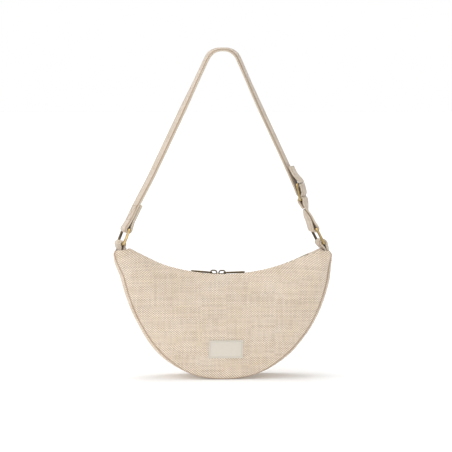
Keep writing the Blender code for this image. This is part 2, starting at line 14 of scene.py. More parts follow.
import bmesh
import bpy
from mathutils import Matrix, Vector, noise
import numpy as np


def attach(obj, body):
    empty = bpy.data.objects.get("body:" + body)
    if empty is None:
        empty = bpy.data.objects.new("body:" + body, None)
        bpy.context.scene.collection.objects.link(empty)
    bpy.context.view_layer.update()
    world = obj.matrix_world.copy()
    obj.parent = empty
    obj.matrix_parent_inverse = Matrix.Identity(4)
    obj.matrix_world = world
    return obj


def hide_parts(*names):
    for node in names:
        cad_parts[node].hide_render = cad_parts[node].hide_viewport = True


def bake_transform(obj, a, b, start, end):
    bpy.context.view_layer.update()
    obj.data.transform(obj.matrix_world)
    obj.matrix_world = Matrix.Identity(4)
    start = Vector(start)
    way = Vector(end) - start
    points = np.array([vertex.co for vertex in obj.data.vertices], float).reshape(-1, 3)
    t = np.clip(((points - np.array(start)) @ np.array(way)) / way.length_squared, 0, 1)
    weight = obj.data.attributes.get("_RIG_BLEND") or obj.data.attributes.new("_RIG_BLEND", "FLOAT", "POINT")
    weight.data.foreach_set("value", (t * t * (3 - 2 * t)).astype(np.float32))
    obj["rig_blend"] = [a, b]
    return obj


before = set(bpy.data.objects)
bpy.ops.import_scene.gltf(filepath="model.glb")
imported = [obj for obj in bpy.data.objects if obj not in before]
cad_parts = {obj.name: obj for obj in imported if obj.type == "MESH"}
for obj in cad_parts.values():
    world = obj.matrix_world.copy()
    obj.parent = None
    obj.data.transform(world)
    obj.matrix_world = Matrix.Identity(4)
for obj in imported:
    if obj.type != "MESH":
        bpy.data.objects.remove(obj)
log = logging.getLogger("half_moon_bag")

Mesh = bmesh.types.BMesh
Material = bpy.types.Material
Colour = tuple[float, float, float]
Ramp = tuple[float, float]
Outline = Sequence[tuple[float, float]]
Surface = Callable[[float, float], Vector]

WEAVE_MAP = "weave"
# Painted shade: this attribute pulls a point's colour towards a dark tone along seams, tucks, folds and
# pocket edges, where shade falls.
PAINTED_SHADE = "crease"
EDGE = "edge"
WEAR = "wear"

ACROSS = Vector((0, 1, 0))
UP = Vector((0, 0, 1))


class Place(Enum):
    """One of two sides, with its name as the pieces have it."""

    @property
    def word(self) -> str:
        """The side's name in lower case."""
        return self.name.lower()


class Side(Place):
    """The bag's two panels, by the way each faces along Y."""

    FRONT = -1
    BACK = 1


class Hand(Place):
    """The bag's two ends, by their side of the middle."""

    LEFT = -1
    RIGHT = 1


class Term:
    """A shader socket that takes part in Python sums."""

    def __init__(self, tree: bpy.types.NodeTree, socket: bpy.types.NodeSocket) -> None:
        """Keeps the tree and the socket that the sums go on from."""
        self.tree = tree
        self.socket = socket

    def maths(self, operation: str, *others: "Term | float", turned: bool = False) -> "Term":
        """Adds one Math node to this socket.

        Args:
            operation: The Math node's operation.
            others: The other numbers or sockets that it takes.
            turned: Whether this socket comes last.

        Returns:
            The node's result.
        """
        node = self.tree.nodes.new("ShaderNodeMath")
        node.operation = operation
        values = [self, *others]
        for socket, value in zip(node.inputs, reversed(values) if turned else values):
            if isinstance(value, Term):
                self.tree.links.new(value.socket, socket)
            else:
                socket.default_value = value
        return Term(self.tree, node.outputs[0])

    def __add__(self, other: "Term | float") -> "Term":
        """This value plus another."""
        return self.maths("ADD", other)

    def __sub__(self, other: "Term | float") -> "Term":
        """This value less another."""
        return self.maths("SUBTRACT", other)

    def __rsub__(self, other: float) -> "Term":
        """A number less this value."""
        return self.maths("SUBTRACT", other, turned=True)

    def __mul__(self, other: "Term | float") -> "Term":
        """This value times another."""
        return self.maths("MULTIPLY", other)

    def __truediv__(self, other: "Term | float") -> "Term":
        """This value over another."""
        return self.maths("DIVIDE", other)

    def __pow__(self, other: float) -> "Term":
        """This value to a power."""
        return self.maths("POWER", other)

    def __abs__(self) -> "Term":
        """This value without its sign."""
        return self.maths("ABSOLUTE")

    __radd__ = __add__
    __rmul__ = __mul__

    def sine(self) -> "Term":
        """The sine of this value."""
        return self.maths("SINE")

    def floor(self) -> "Term":
        """The whole number below this value."""
        return self.maths("FLOOR")

    def highest(self, other: "Term | float") -> "Term":
        """The higher of two values."""
        return self.maths("MAXIMUM", other)


class Graph:
    """One material's nodes."""

    def __init__(self, name: str) -> None:
        """Starts a material that holds a Principled shader and its output.

        Args:
            name: The material's name.
        """
        self.material = bpy.data.materials.new(name)
        self.material.use_nodes = True
        self.tree = self.material.node_tree
        self.shader = self.tree.nodes["Principled BSDF"]

    def node(
        self,
        kind: str,
        settings: dict[str, object] | None = None,
        sockets: dict[int | str, object] | None = None,
        out: int | str = 0,
    ) -> Term:
        """Adds a node, its settings first and its sockets after them.

        Args:
            kind: The node's type.
            settings: The node's own properties.
            sockets: A value or a Term for each socket that isn't left alone.
            out: The output to go on from.

        Returns:
            That output.
        """
        made = self.tree.nodes.new(kind)
        for key, value in (settings or {}).items():
            setattr(made, key, value)
        for key, value in (sockets or {}).items():
            if isinstance(value, Term):
                self.tree.links.new(value.socket, made.inputs[key])
            else:
                made.inputs[key].default_value = value
        return Term(self.tree, made.outputs[out])

    def weave_place(self) -> tuple[Term, Term]:
        """The weave map's two axes, in metres on the cloth."""
        place = self.node("ShaderNodeUVMap", {"uv_map": WEAVE_MAP})
        parts = self.node("ShaderNodeSeparateXYZ", sockets={0: place})
        return parts, Term(self.tree, parts.socket.node.outputs[1])

    def place(self, x: Term | float, y: Term | float, z: Term | float = 0.0) -> Term:
        """Three values as one vector."""
        return self.node("ShaderNodeCombineXYZ", sockets={0: x, 1: y, 2: z})

    def object_place(self) -> Term:
        """The object's own coordinates, in metres."""
        return self.node("ShaderNodeTexCoord", out="Object")

    def attribute(self, name: str) -> Term:
        """The number that the mesh carries under this name."""
        return self.node("ShaderNodeAttribute", {"attribute_name": name}, out="Fac")

    def noise(self, place: Term, scale: float, detail: float = 2.0, roughness: float = 0.5) -> Term:
        """Smooth noise from 0 to 1, with scale waves to the metre."""
        sockets = {"Vector": place, "Scale": scale, "Detail": detail, "Roughness": roughness}
        return self.node("ShaderNodeTexNoise", sockets=sockets)

    def spots(self, place: Term) -> Term:
        """One number from 0 to 1 for each whole place."""
        return self.node("ShaderNodeTexWhiteNoise", {"noise_dimensions": "2D"}, {"Vector": place})

    def between(self, value: Term, low: float, high: float) -> Term:
        """Runs smoothly from 0 where value is low to 1 where it is high."""
        sockets = {"Value": value, "From Min": low, "From Max": high}
        return self.node("ShaderNodeMapRange", {"interpolation_type": "SMOOTHSTEP"}, sockets)

    def mix(
        self, share: Term | float, first: Term | Colour, second: Term | Colour, way: str = "MIX"
    ) -> Term:
        """Mixes two colours.

        Args:
            share: How far to go to the second colour.
            first: The colour at 0.
            second: The colour at 1, or what the first is blended with.
            way: The Mix node's blend type.

        Returns:
            The mixed colour.
        """
        colours = {
            key: value if isinstance(value, Term) else (*value, 1)
            for key, value in ((6, first), (7, second))
        }
        return self.node(
            "ShaderNodeMix", {"data_type": "RGBA", "blend_type": way}, {0: share, **colours}, out=2
        )

    def shade(self, colour: Term, amount: Term) -> Term:
        """Multiplies a colour by one number."""
        grey = self.node("ShaderNodeCombineColor", sockets={0: amount, 1: amount, 2: amount})
        return self.mix(1.0, colour, grey, "MULTIPLY")

    def raise_surface(self, height: Term, distance: float, strength: float = 1.0) -> None:
        """Feeds a height from 0 to 1 to the shader's normal, distance metres high."""
        sockets = {"Height": height, "Distance": distance, "Strength": strength}
        self.finish(Normal=self.node("ShaderNodeBump", sockets=sockets))

    def finish(self, **sockets: Term | float | Colour) -> None:
        """Sets or links the shader's own sockets.

        Args:
            sockets: A value or a Term for each, named with _ for a space.
        """
        for key, value in sockets.items():
            socket = self.shader.inputs[key.replace("_", " ")]
            if isinstance(value, Term):
                self.tree.links.new(value.socket, socket)
            else:
                socket.default_value = value


@dataclass(frozen=True)
class Yarns:
    """What a canvas's yarns do at a place: how they cross there, and how each one differs."""

    along: Term
    across: Term
    crossing: Term
    crown: Term
    over: Term
    warp_tone: Term
    weft_tone: Term
    slub: Term
    fuzz: Term
    cloud: Term


@dataclass(frozen=True)
class Canvas:
    """Coarse canvas of slubby recycled yarn, in the tones that its mixed fibres give."""

    name: str
    colour: Colour = (0.610, 0.500, 0.388)
    pink: Colour = (0.62, 0.483, 0.376)
    straw: Colour = (0.595, 0.475, 0.335)
    grey: Colour = (0.575, 0.505, 0.43)
    cream: Colour = (0.65, 0.622, 0.575)
    fleck: Colour = (0.35, 0.25, 0.17)
    ochre: Colour = (0.50, 0.375, 0.255)
    # Painted shade: the dark tone laid along seams, tucks and folds.
    seam: Colour = (0.30, 0.19, 0.12)
    yarn: float = 0.00166
    sett: float = 1.22
    warp_block: float = 11
    weft_block: float = 19
    contrast: float = 0.44
    relief: float = 0.00030
    paleness: float = 1.0
    # Painted shade: a plainer, slightly darker tone for the strap's folded edges.
    selvage: Colour | None = None

    def yarns(self, graph: Graph) -> Yarns:
        """Lays the yarns out on the weave map, drifting a little.

        Args:
            graph: The material's nodes.

        Returns:
            What the colour, the light and the relief are made of.
        """
        along, across = graph.weave_place()
        place = graph.place(along, across)
        drift = graph.noise(place, 55, 2)
        warp = (along + drift * self.yarn) / (self.yarn * self.sett)
        weft = (across + drift * self.yarn) / self.yarn
        crossing = (warp * pi).sine() * (weft * pi).sine()
        return Yarns(
            along,
            across,
            crossing,
            crown=abs(crossing) ** 0.6,
            over=graph.between(crossing, -0.35, 0.35),
            warp_tone=graph.spots(graph.place(warp.floor(), (weft / self.warp_block).floor())),
            weft_tone=graph.spots(graph.place((warp / self.weft_block).floor() + 9, weft.floor() + 5)),
            slub=graph.noise(graph.place(along * 0.14, across), 620, 1),
            fuzz=graph.noise(place, 2600, 2, 0.7),
            cloud=graph.noise(graph.place(across + 3, along), 21, 2, 0.6),
        )

    def tone(self, graph: Graph, yarns: Yarns, flecks: Term) -> Term:
        """The mixed fibres' colour, before light and shade.

        Args:
            graph: The material's nodes.
            yarns: The canvas's yarns.
            flecks: Where dark fibres lie.

        Returns:
            The colour.
        """
        along, across = yarns.along, yarns.across
        patch = graph.noise(graph.place(along * 0.7, across), 46, 3, 0.6)
        warmth = graph.noise(graph.place(along + 7, across - 2), 95, 2, 0.6)
        streak = graph.noise(graph.place(along * 0.16, across), 190, 2, 0.6)
        spun = yarns.warp_tone * 0.5 + yarns.weft_tone * 0.5
        shares = (
            (graph.between(patch, 0.44, 0.66) * 0.60, self.straw),
            (graph.between(warmth, 0.50, 0.72) * 0.55, self.pink),
            (graph.between(yarns.cloud, 0.50, 0.74) * 0.35, self.grey),
            (flecks * 0.50, self.fleck),
            (graph.between(spun, 0.56, 0.84) * 0.34, self.ochre),
            (graph.between(streak, 0.56, 0.74) * 0.40, self.ochre),
            # Partly painted highlight: cream lies on the yarns' crossings, where the painted light is
            # brightest; partly the yarns' paler tone.
            (graph.between(yarns.crossing + (yarns.fuzz - 0.5), -0.2, 1.0) * 0.55, self.cream),
        )
        tone = self.colour
        for share, fibre in shares:
            tone = graph.mix(share, tone, fibre)
        return tone

    def light(self, yarns: Yarns) -> Term:
        """How bright the cloth is: a painted highlight on the crowns, painted shade where a yarn dips, and
        darker where a yarn is dark.

        Args:
            yarns: The canvas's yarns.

        Returns:
            What the colour is multiplied by.
        """
        light = 1 - self.contrast * 0.5 + yarns.crown * self.contrast * 0.8
        light = light + (yarns.over - 0.5) * (self.contrast * 1.2)
        light = light - (yarns.warp_tone - 0.5) * 0.06 - (yarns.weft_tone - 0.5) * 0.11
        light = light + (yarns.slub - 0.5) * 0.20 + (yarns.fuzz - 0.5) * 0.20
        light = light + (yarns.cloud - 0.5) * 0.10 + 0.06
        return light * self.paleness

    def material(self) -> Material:
        """The canvas's nodes.

        Returns:
            The material, which reads the weave map, the painted shade and the edge attributes.
        """
        graph = Graph(self.name)
        yarns = self.yarns(graph)
        specks = graph.noise(graph.place(yarns.along * 0.30, yarns.across), 900, 1)
        flecks = graph.between(specks, 0.70, 0.82)
        light = self.light(yarns)
        # The weave's painted light and shade: the colour is multiplied by the yarns' brightness.
        tone = graph.shade(self.tone(graph, yarns, flecks), light)
        # Painted shade: the folded edges take the plainer edge tone.
        if self.selvage:
            folded = graph.shade(graph.mix(flecks, self.selvage, self.fleck), light)
            tone = graph.mix(graph.attribute(EDGE), tone, folded)
        # Painted shade: the dark tone is laid where the mesh marks seams, tucks, folds and pocket edges.
        tone = graph.mix(graph.attribute(PAINTED_SHADE), tone, self.seam)
        graph.finish(Base_Color=tone, Roughness=0.93, Sheen_Weight=0.12, Sheen_Roughness=0.6)
        graph.finish(Specular_IOR_Level=0.25)
        height = yarns.crown * 0.7 + yarns.over * 0.15 + yarns.slub * 0.35 + yarns.fuzz * 0.12
        graph.raise_surface(height, self.relief)
        return graph.material


@dataclass(frozen=True)
class Tape:
    """Close woven zip tape with a fine rib along it."""

    name: str = "zip_tape_cloth"
    colour: Colour = (0.20, 0.185, 0.115)
    light: Colour = (0.30, 0.275, 0.175)
    rib: float = 0.00072

    def material(self) -> Material:
        """The tape's nodes.

        Returns:
            The material, which reads the weave map.
        """
        graph = Graph(self.name)
        along, across = graph.weave_place()
        wave = abs((across / self.rib / 3 * pi).sine()) * self.rib
        slant = ((along + wave) / self.rib * pi).sine()
        rib = (across / self.rib * pi).sine()
        thread = abs(slant) * 0.6 + abs(rib) * 0.4
        fuzz = graph.noise(graph.place(along, across), 1800, 2)
        # Painted highlight and shade: the light colour lies on the ribs' crowns and the base colour in the
        # grooves between them.
        tone = graph.mix(thread * 0.7 + fuzz * 0.3, self.colour, self.light)
        graph.finish(Base_Color=tone, Roughness=0.88, Sheen_Weight=0.1)
        graph.raise_surface(thread + fuzz * 0.2, 0.00012)
        return graph.material


@dataclass(frozen=True)
class Satin:
    """The woven label's close satin, with its yarns across."""

    name: str = "label_cloth"
    colour: Colour = (0.657, 0.614, 0.538)
    shadow: Colour = (0.533, 0.490, 0.419)
    yarn: float = 0.00045

    def material(self) -> Material:
        """The label's nodes.

        Returns:
            The material, which reads the weave map and the painted shade attribute.
        """
        graph = Graph(self.name)
        along, across = graph.weave_place()
        yarns = abs((across / self.yarn * pi).sine())
        ties = abs((along / self.yarn / 2.5 * pi).sine())
        row = graph.spots(graph.place((across / self.yarn).floor(), (along / 0.012).floor()))
        soft = graph.noise(graph.place(along, across), 160, 3)
        # Painted shade: the shadow colour lies between the yarns and the ties, mixed with the rows' and the
        # cloth's own random tones.
        share = (1 - yarns) * 0.30 + (1 - ties) * 0.12 + row * 0.14 + (soft - 0.5) * 0.35
        tone = graph.mix(share, self.colour, self.shadow)
        # Painted shade along the seam's dip.
        crease = graph.attribute(PAINTED_SHADE)
        tone = graph.mix(crease, tone, self.shadow)
        graph.finish(Base_Color=tone, Roughness=0.72, Sheen_Weight=0.1)
        graph.raise_surface(yarns * 0.8 + ties * 0.3, 0.00008)
        return graph.material


@dataclass(frozen=True)
class Thread:
    """Twisted sewing thread."""

    name: str
    colour: Colour
    deep: Colour

    def material(self) -> Material:
        """The thread's nodes.

        Returns:
            The material, which reads the object's coordinates.
        """
        graph = Graph(self.name)
        soft = graph.noise(graph.object_place(), 1500, 2)
        tone = graph.mix(graph.between(soft, 0.3, 0.7), self.colour, self.deep)
        graph.finish(Base_Color=tone, Roughness=0.7, Sheen_Weight=0.1)
        graph.raise_surface(soft, 0.00006)
        return graph.material


@dataclass(frozen=True)
class AgedBrass:
    """Antique brass: dark patina in the hollows, rubbed gold on what is touched."""

    name: str = "aged_brass"
    patina: Colour = (0.085, 0.062, 0.036)
    brass: Colour = (0.36, 0.255, 0.115)
    gold: Colour = (0.60, 0.455, 0.225)
    bias: float = 0.0

    def material(self) -> Material:
        """The metal's nodes.

        Returns:
            The material, which reads the object's coordinates and the wear attribute.
        """
        graph = Graph(self.name)
        spot = graph.object_place()
        broad = graph.noise(spot, 190, 3, 0.6)
        fine = graph.noise(spot, 1400, 3, 0.65)
        wear = graph.attribute(WEAR)
        rubbed = wear + (broad - 0.5) * 0.9 + (fine - 0.5) * 0.35 + self.bias
        tone = graph.mix(graph.between(rubbed, 0.02, 0.42), self.patina, self.brass)
        tone = graph.mix(graph.between(rubbed, 0.42, 0.85), tone, self.gold)
        rough = 0.44 - graph.between(rubbed, 0.2, 0.9) * 0.19 + (fine - 0.5) * 0.16
        graph.finish(Base_Color=tone, Metallic=1.0, Roughness=rough)
        graph.raise_surface(fine * 0.6 + broad * 0.4, 0.00007)
        return graph.material


@dataclass(frozen=True)
class Resin:
    """Moulded zip teeth, faintly uneven."""

    name: str = "zip_teeth"
    colour: Colour = (0.17, 0.15, 0.085)
    light: Colour = (0.29, 0.25, 0.14)

    def material(self) -> Material:
        """The teeth's nodes.

        Returns:
            The material, which reads the object's coordinates.
        """
        graph = Graph(self.name)
        spot = graph.object_place()
        cloudy = graph.noise(spot, 420, 2)
        tone = graph.mix(graph.between(cloudy, 0.35, 0.7), self.colour, self.light)
        graph.finish(Base_Color=tone, Roughness=0.36 + cloudy * 0.18, Coat_Roughness=0.3)
        graph.raise_surface(graph.noise(spot, 2400, 2), 0.00004)
        return graph.material


class Wardrobe:
    """Every finish of the bag, each made once."""

    def __init__(self) -> None:
        """Makes the materials."""
        self.canvas = Canvas("linen").material()
        self.webbing = Canvas(
            "strap_cloth",
            colour=(0.625, 0.525, 0.42),
            yarn=0.0013,
            contrast=0.36,
            paleness=0.91,
            # The edge tone is painted shade on the strap's folded edges.
            selvage=(0.61, 0.53, 0.42),
        ).material()
        self.lining = Canvas(
            "lining_cloth", colour=(0.60, 0.51, 0.40), yarn=0.0006, contrast=0.10, relief=0.0001
        ).material()
        self.tape = Tape().material()
        self.label = Satin().material()
        self.thread = Thread("seam_thread", (0.36, 0.25, 0.155), (0.20, 0.13, 0.08)).material()
        self.label_thread = Thread("label_thread", (0.60, 0.59, 0.56), (0.42, 0.41, 0.39)).material()
        self.brass = AgedBrass(bias=-0.14).material()
        # The duller copy is painted shade on the right ring; the adjuster takes it too.
        self.dull_brass = AgedBrass("dull_brass", bias=-0.27).material()
        self.dark_brass = AgedBrass("dark_brass", bias=-0.34).material()
        self.teeth = Resin().material()


def blend(start: Vector | float, end: Vector | float, share: float) -> Vector | float:
    """The value or point that lies share of the way from start to end."""
    return start + (end - start) * share


def flat(x: float, z: float) -> Vector:
    """A point or direction in the plane of the bag's front."""
    return Vector((x, 0, z))


def cubic(points: Sequence[Vector], t: float) -> Vector:
    """A point of a cubic curve.

    Args:
        points: Its four control points.
        t: How far along it is, from 0 to 1.

    Returns:
        The point.
    """
    a, b, c, d = points
    s = 1 - t
    return a * s**3 + b * (3 * s * s * t) + c * (3 * s * t * t) + d * t**3


def eased(value: float, low: float, high: float) -> float:
    """Runs smoothly from 0 at low to 1 at high."""
    share = min(max((value - low) / (high - low), 0), 1)
    return share * share * (3 - 2 * share)


def wander(place: Vector, wave: float) -> float:
    """Smooth noise from -1 to 1 whose swings are about wave apart."""
    return noise.noise(place / wave)


def runs(points: Sequence[Vector]) -> list[float]:
    """How far a line has run at each of its points.

    Args:
        points: The line.

    Returns:
        The lengths, from 0 at its first point.
    """
    made = [0.0]
    for start, end in zip(points, points[1:]):
        made.append(made[-1] + (end - start).length)
    return made


def cloth(columns: int, rows: int, surface: Surface, weave: Surface) -> Mesh:
    """Lays a grid on a surface.

    Args:
        columns: Faces along the first direction.
        rows: Faces along the second.
        surface: The point for each pair of shares from -1 to 1.
        weave: The place on the flat cloth, in metres, with the depth of its painted shade as its third
            number.

    Returns:
        The sheet, with its weave map and its painted shade attribute.
    """
    shape = bmesh.new()
    bmesh.ops.create_grid(shape, x_segments=columns, y_segments=rows, size=1)
    chart = shape.loops.layers.uv.new(WEAVE_MAP)
    crease = shape.verts.layers.float.new(PAINTED_SHADE)
    for corner in shape.verts:
        place = weave(corner.co.x, corner.co.y)
        corner[crease] = place.z
        for loop in corner.link_loops:
            loop[chart].uv = place.xy
    for corner in shape.verts:
        corner.co = surface(corner.co.x, corner.co.y)
    return shape


def publish(
    name: str, shape: Mesh, finish: Material, body: str, slot: str, *replaced: str
) -> bpy.types.Object:
    """Makes a finished mesh a piece of the model.

    Args:
        name: The piece's name.
        shape: Its mesh, which is used up.
        finish: Its material.
        body: The body that it rides on.
        slot: The record's material slot; not used.
        replaced: The CAD nodes that it stands for.

    Returns:
        The piece.
    """
    data = bpy.data.meshes.new(name)
    shape.to_mesh(data)
    shape.free()
    data.shade_smooth()
    data.set_sharp_from_angle(angle=radians(50))
    data.materials.append(finish)
    piece = bpy.data.objects.new(name, data)
    bpy.context.scene.collection.objects.link(piece)
    if replaced:
        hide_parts(*replaced)
    if body:
        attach(piece, body)
    log.info("%s: %d faces on %s", name, len(data.polygons), body or "a blend")
    return piece


def thicken(piece: bpy.types.Object, thickness: float, offset: float = -1.0) -> None:
    """Gives a sheet its wall.

    Args:
        piece: The sheet.
        thickness: The wall's thickness.
        offset: Where the sheet lies in it: -1 on its outer face, 0 in its middle.
    """
    wall = piece.modifiers.new("Wall", "SOLIDIFY")
    wall.thickness = thickness
    wall.offset = offset


@dataclass
class Station:
    """One place of a sweep: where it is, and the two directions of its section."""

    origin: Vector
    across: Vector
    rise: Vector
    run: float
    swell: float = 1.0


def sweep(
    stations: Sequence[Station],
    section: Outline,
    closed: bool = False,
    marks: Sequence[float] = (),
) -> Mesh:
    """Carries a closed section along its stations.

    Args:
        stations: The places in order.
        section: Points of the section, as distances along the station's two directions.
        closed: Whether the last station joins the first.
        marks: The painted shade's depth at each point of the section.

    Returns:
        A closed solid with a weave map, in metres along and round it.
    """
    shape = bmesh.new()
    columns = len(stations) - (not closed)
    rows = len(section)
    bmesh.ops.create_grid(shape, x_segments=columns, y_segments=rows, size=1)
    chart = shape.loops.layers.uv.new(WEAVE_MAP)
    shape.verts.layers.float.new(WEAR)
    crease = shape.verts.layers.float.new(PAINTED_SHADE)
    round_run = [0.0]
    for (a, b), (c, d) in zip(section, [*section[1:], section[0]]):
        round_run.append(round_run[-1] + hypot(c - a, d - b))
    last = stations[-1].run + (stations[-1].origin - stations[0].origin).length
    for corner in shape.verts:
        i = round((corner.co.x + 1) / 2 * columns)
        j = round((corner.co.y + 1) / 2 * rows)
        for loop in corner.link_loops:
            loop[chart].uv = (stations[i].run if i < len(stations) else last, round_run[j])
        station = stations[i % len(stations)]
        if marks:
            corner[crease] = marks[j % rows]
        a, b = section[j % rows]
        corner.co = station.origin + (station.across * a + station.rise * b) * station.swell
    bmesh.ops.remove_doubles(shape, verts=shape.verts, dist=1e-7)
    if not closed:
        bmesh.ops.holes_fill(shape, edges=[e for e in shape.edges if e.is_boundary], sides=0)
    bmesh.ops.recalc_face_normals(shape, faces=shape.faces)
    return shape


def disc(radius: float, count: int, flatness: float = 1.0) -> list[tuple[float, float]]:
    """A round section, flatter than it is wide if asked."""
    turns = [2 * pi * i / count for i in range(count)]
    return [(radius * cos(turn), radius * flatness * sin(turn)) for turn in turns]


def merge(shapes: Sequence[Mesh]) -> Mesh:
    """Puts several closed solids in one mesh.

    Args:
        shapes: The solids, of which all but the first are used up.

    Returns:
        The first, with the others in it.
    """
    whole = shapes[0]
    for shape in shapes[1:]:
        data = bpy.data.meshes.new("part_of_piece")
        shape.to_mesh(data)
        shape.free()
        whole.from_mesh(data)
        bpy.data.meshes.remove(data)
    return whole


@dataclass
class Stitching:
    """A row of sewing: small rounded stitches, half sunk in the cloth."""

    pitch: float = 0.0032
    length: float = 0.0022
    radius: float = 0.00040

    def row(self, shape: Mesh, line: Sequence[Vector], normals: Sequence[Vector]) -> None:
        """Sews along a line.

        Args:
            shape: The mesh that takes the stitches.
            line: Points on the cloth, closer together than a stitch or straight between.
            normals: The way out of the cloth at each point.
        """
        run = 0.0
        target = self.pitch / 2
        for start, end, normal in zip(line, line[1:], normals):
            reach = (end - start).length
            while run + reach >= target and reach:
                along = (end - start) / reach
                out = (normal - along * normal.dot(along)).normalized()
                frame_turn = Matrix((along, out.cross(along), out)).transposed().to_4x4()
                spot = start + along * (target - run)
                size = Matrix.Diagonal((self.length / 2, self.radius, self.radius, 1))
                lying = Matrix.Rotation(pi / 2, 4, "Y")
                place = Matrix.Translation(spot) @ frame_turn @ size @ lying
                bmesh.ops.create_uvsphere(shape, u_segments=6, v_segments=4, radius=1, matrix=place)
                target += self.pitch
            run += reach


@dataclass(frozen=True)
class Fold:
    """A soft fold or hollow in a panel, along a line seen from the front."""

    start: tuple[float, float]
    end: tuple[float, float]
    width: float
    depth: float

    def at(self, place: Vector) -> float:
        """How far it moves the cloth outwards.

        Args:
            place: The cloth's place.

        Returns:
            The distance.
        """
        first, last = flat(*self.start), flat(*self.end)
        line = last - first
        share = min(max((place - first).dot(line) / line.length_squared, 0), 1)
        away = (flat(place.x, place.z) - first - line * share).length
        along = blend(0.4, 1, sin(share * pi))
        return self.depth * exp(-((away / self.width) ** 2)) * along


@dataclass
class HalfMoon:
    """The canvas body: two bulging panels and the gusset round their curved edge."""

    widest_drop: float = 0.327
    bottom_drop: float = 0.5152
    half_width: float = 0.1705
    arc_radius: float = 0.302
    dip_drop: float = 0.3545
    horn_inner: float = 0.1535
    horn_outer: float = 0.1669
    horn_drop: float = 0.3135
    horn_handle: float = 0.006
    side_handle: float = 0.014
    base_handle: float = 0.1500
    base_flat: float = 0.0012
    mouth_half: float = 0.015
    base_half: float = 0.035
    bulge: float = 0.016
    horn_bulge: float = 0.0015
    bulge_low: float = 0.55
    fullness: float = 0.8
    seam_inset: float = 0.0058
    horn_fade: float = 0.34
    base_fade: float = 0.12
    front_lip: float = 0.0032
    back_lip: float = 0.0008
    horn_lip: float = 0.0006
    lean: float = 0.0042
    left_lip: float = 0.0058
    right_drop: float = 0.0018
    corner_drop: float = 0.0010
    horn_spread: float = 0.0022
    low_lean: float = 0.0010
    low_spread: float = 0.017
    wall: float = 0.0011
    roll: float = 0.0030
    roll_depth: float = 0.0019
    mouth_roll: float = 0.0016
    hem: float = 0.0042
    hem_sink: float = 0.0010
    hem_thick: float = 0.0011
    gather: float = 0.0125
    tuck: float = 0.0010
    setback: float = 0.0030
    roundness: float = 2.5
    slack: float = 0.0011
    fine_slack: float = 0.00038
    pucker: float = 0.00042
    pucker_reach: float = 0.0075
    ease: float = 0.00022
    ease_reach: float = 0.008
    ease_run: float = 0.0170
    stitched: float = 0.003
    lean_ramps: tuple[float, ...] = (0.324, 0.364, 0.425, 0.505)
    low_ramps: tuple[float, ...] = (0.450, 0.485, 0.506, 0.516)
    top_ramp: Ramp = (-0.356, -0.324)
    spread_ramp: Ramp = (0.145, 0.167)
    right_ramp: Ramp = (0.130, 0.150)
    corner_ramp: Ramp = (0.149, 0.168)
    folds: tuple[Fold, ...] = (
        Fold((-0.166, -0.331), (-0.136, -0.339), 0.0032, -0.0021),
        Fold((-0.160, -0.341), (-0.140, -0.345), 0.0042, 0.0014),
        Fold((-0.152, -0.352), (-0.118, -0.349), 0.0040, -0.0012),
        Fold((0.168, -0.350), (0.146, -0.378), 0.0060, -0.0023),
        Fold((0.158, -0.336), (0.148, -0.352), 0.0050, 0.0013),
        Fold((0.100, -0.338), (0.030, -0.362), 0.0060, -0.0006),
    )
    columns: int = 220
    rows: int = 60

    def __post_init__(self) -> None:
        """Works out the arc's centre and measures the rim once for each inset that is used."""
        self.arc_z = self.arc_radius - self.dip_drop
        self.horn_angle = asin(self.horn_inner / self.arc_radius)
        self.rims: dict[float, tuple[list[Vector], list[float]]] = {}

    def on_arc(self, angle: float, y: float, rise: float = 0.0) -> Vector:
        """A point of the zip's arc, rise above it."""
        radius = self.arc_radius - rise
        return Vector((radius * sin(angle), y, self.arc_z - radius * cos(angle)))

    def measure(self, inset: float) -> tuple[list[Vector], list[float]]:
        """Follows the rim from the base's middle to the right horn.

        Args:
            inset: How far inside the rim the line runs.

        Returns:
            The line's points, and the run to each of them.
        """
        horn = flat(self.horn_outer, -self.horn_drop)
        side = flat(self.half_width, -self.widest_drop)
        base = flat(0, -self.bottom_drop - self.base_flat)
        upper = (
            horn,
            horn + flat(self.horn_handle, -self.horn_handle),
            side + flat(0, self.horn_handle),
            side,
        )
        lower = (side, side - flat(0, self.side_handle), base + flat(self.base_handle, 0), base)
        low_steps, high_steps = 90, 18
        raw = [cubic(lower, 1 - i / low_steps) for i in range(low_steps)]
        raw += [cubic(upper, 1 - i / high_steps) for i in range(high_steps + 1)]
        moved = []
        for i, point in enumerate(raw):
            tangent = raw[min(i + 1, len(raw) - 1)] - raw[max(i - 1, 0)]
            share = i / (len(raw) - 1)
            fade = min(1, (1 - share) / self.horn_fade)
            fade *= blend(self.base_fade, 1, eased(share, 0.07, 0.25))
            moved.append(point + flat(-tangent.z, tangent.x).normalized() * inset * fade)
        return moved, runs(moved)

    def rim(self, u: float, inset: float) -> Vector:
        """A point of the rim.

        Args:
            u: Share of its length, -1 at the left horn and 1 at the right.
            inset: How far inside the rim.

        Returns:
            The point.
        """
        if inset not in self.rims:
            self.rims[inset] = self.measure(inset)
        points, run = self.rims[inset]
        target = min(abs(u), 1) * run[-1]
        i = min(max(bisect_left(run, target) - 1, 0), len(run) - 2)
        point = blend(points[i], points[i + 1], (target - run[i]) / (run[i + 1] - run[i]))
        return flat(copysign(point.x, u) if u else 0, point.z)

    def rim_length(self) -> float:
        """Half the rim's length."""
        self.rim(0, 0)
        return self.rims[0][1][-1]

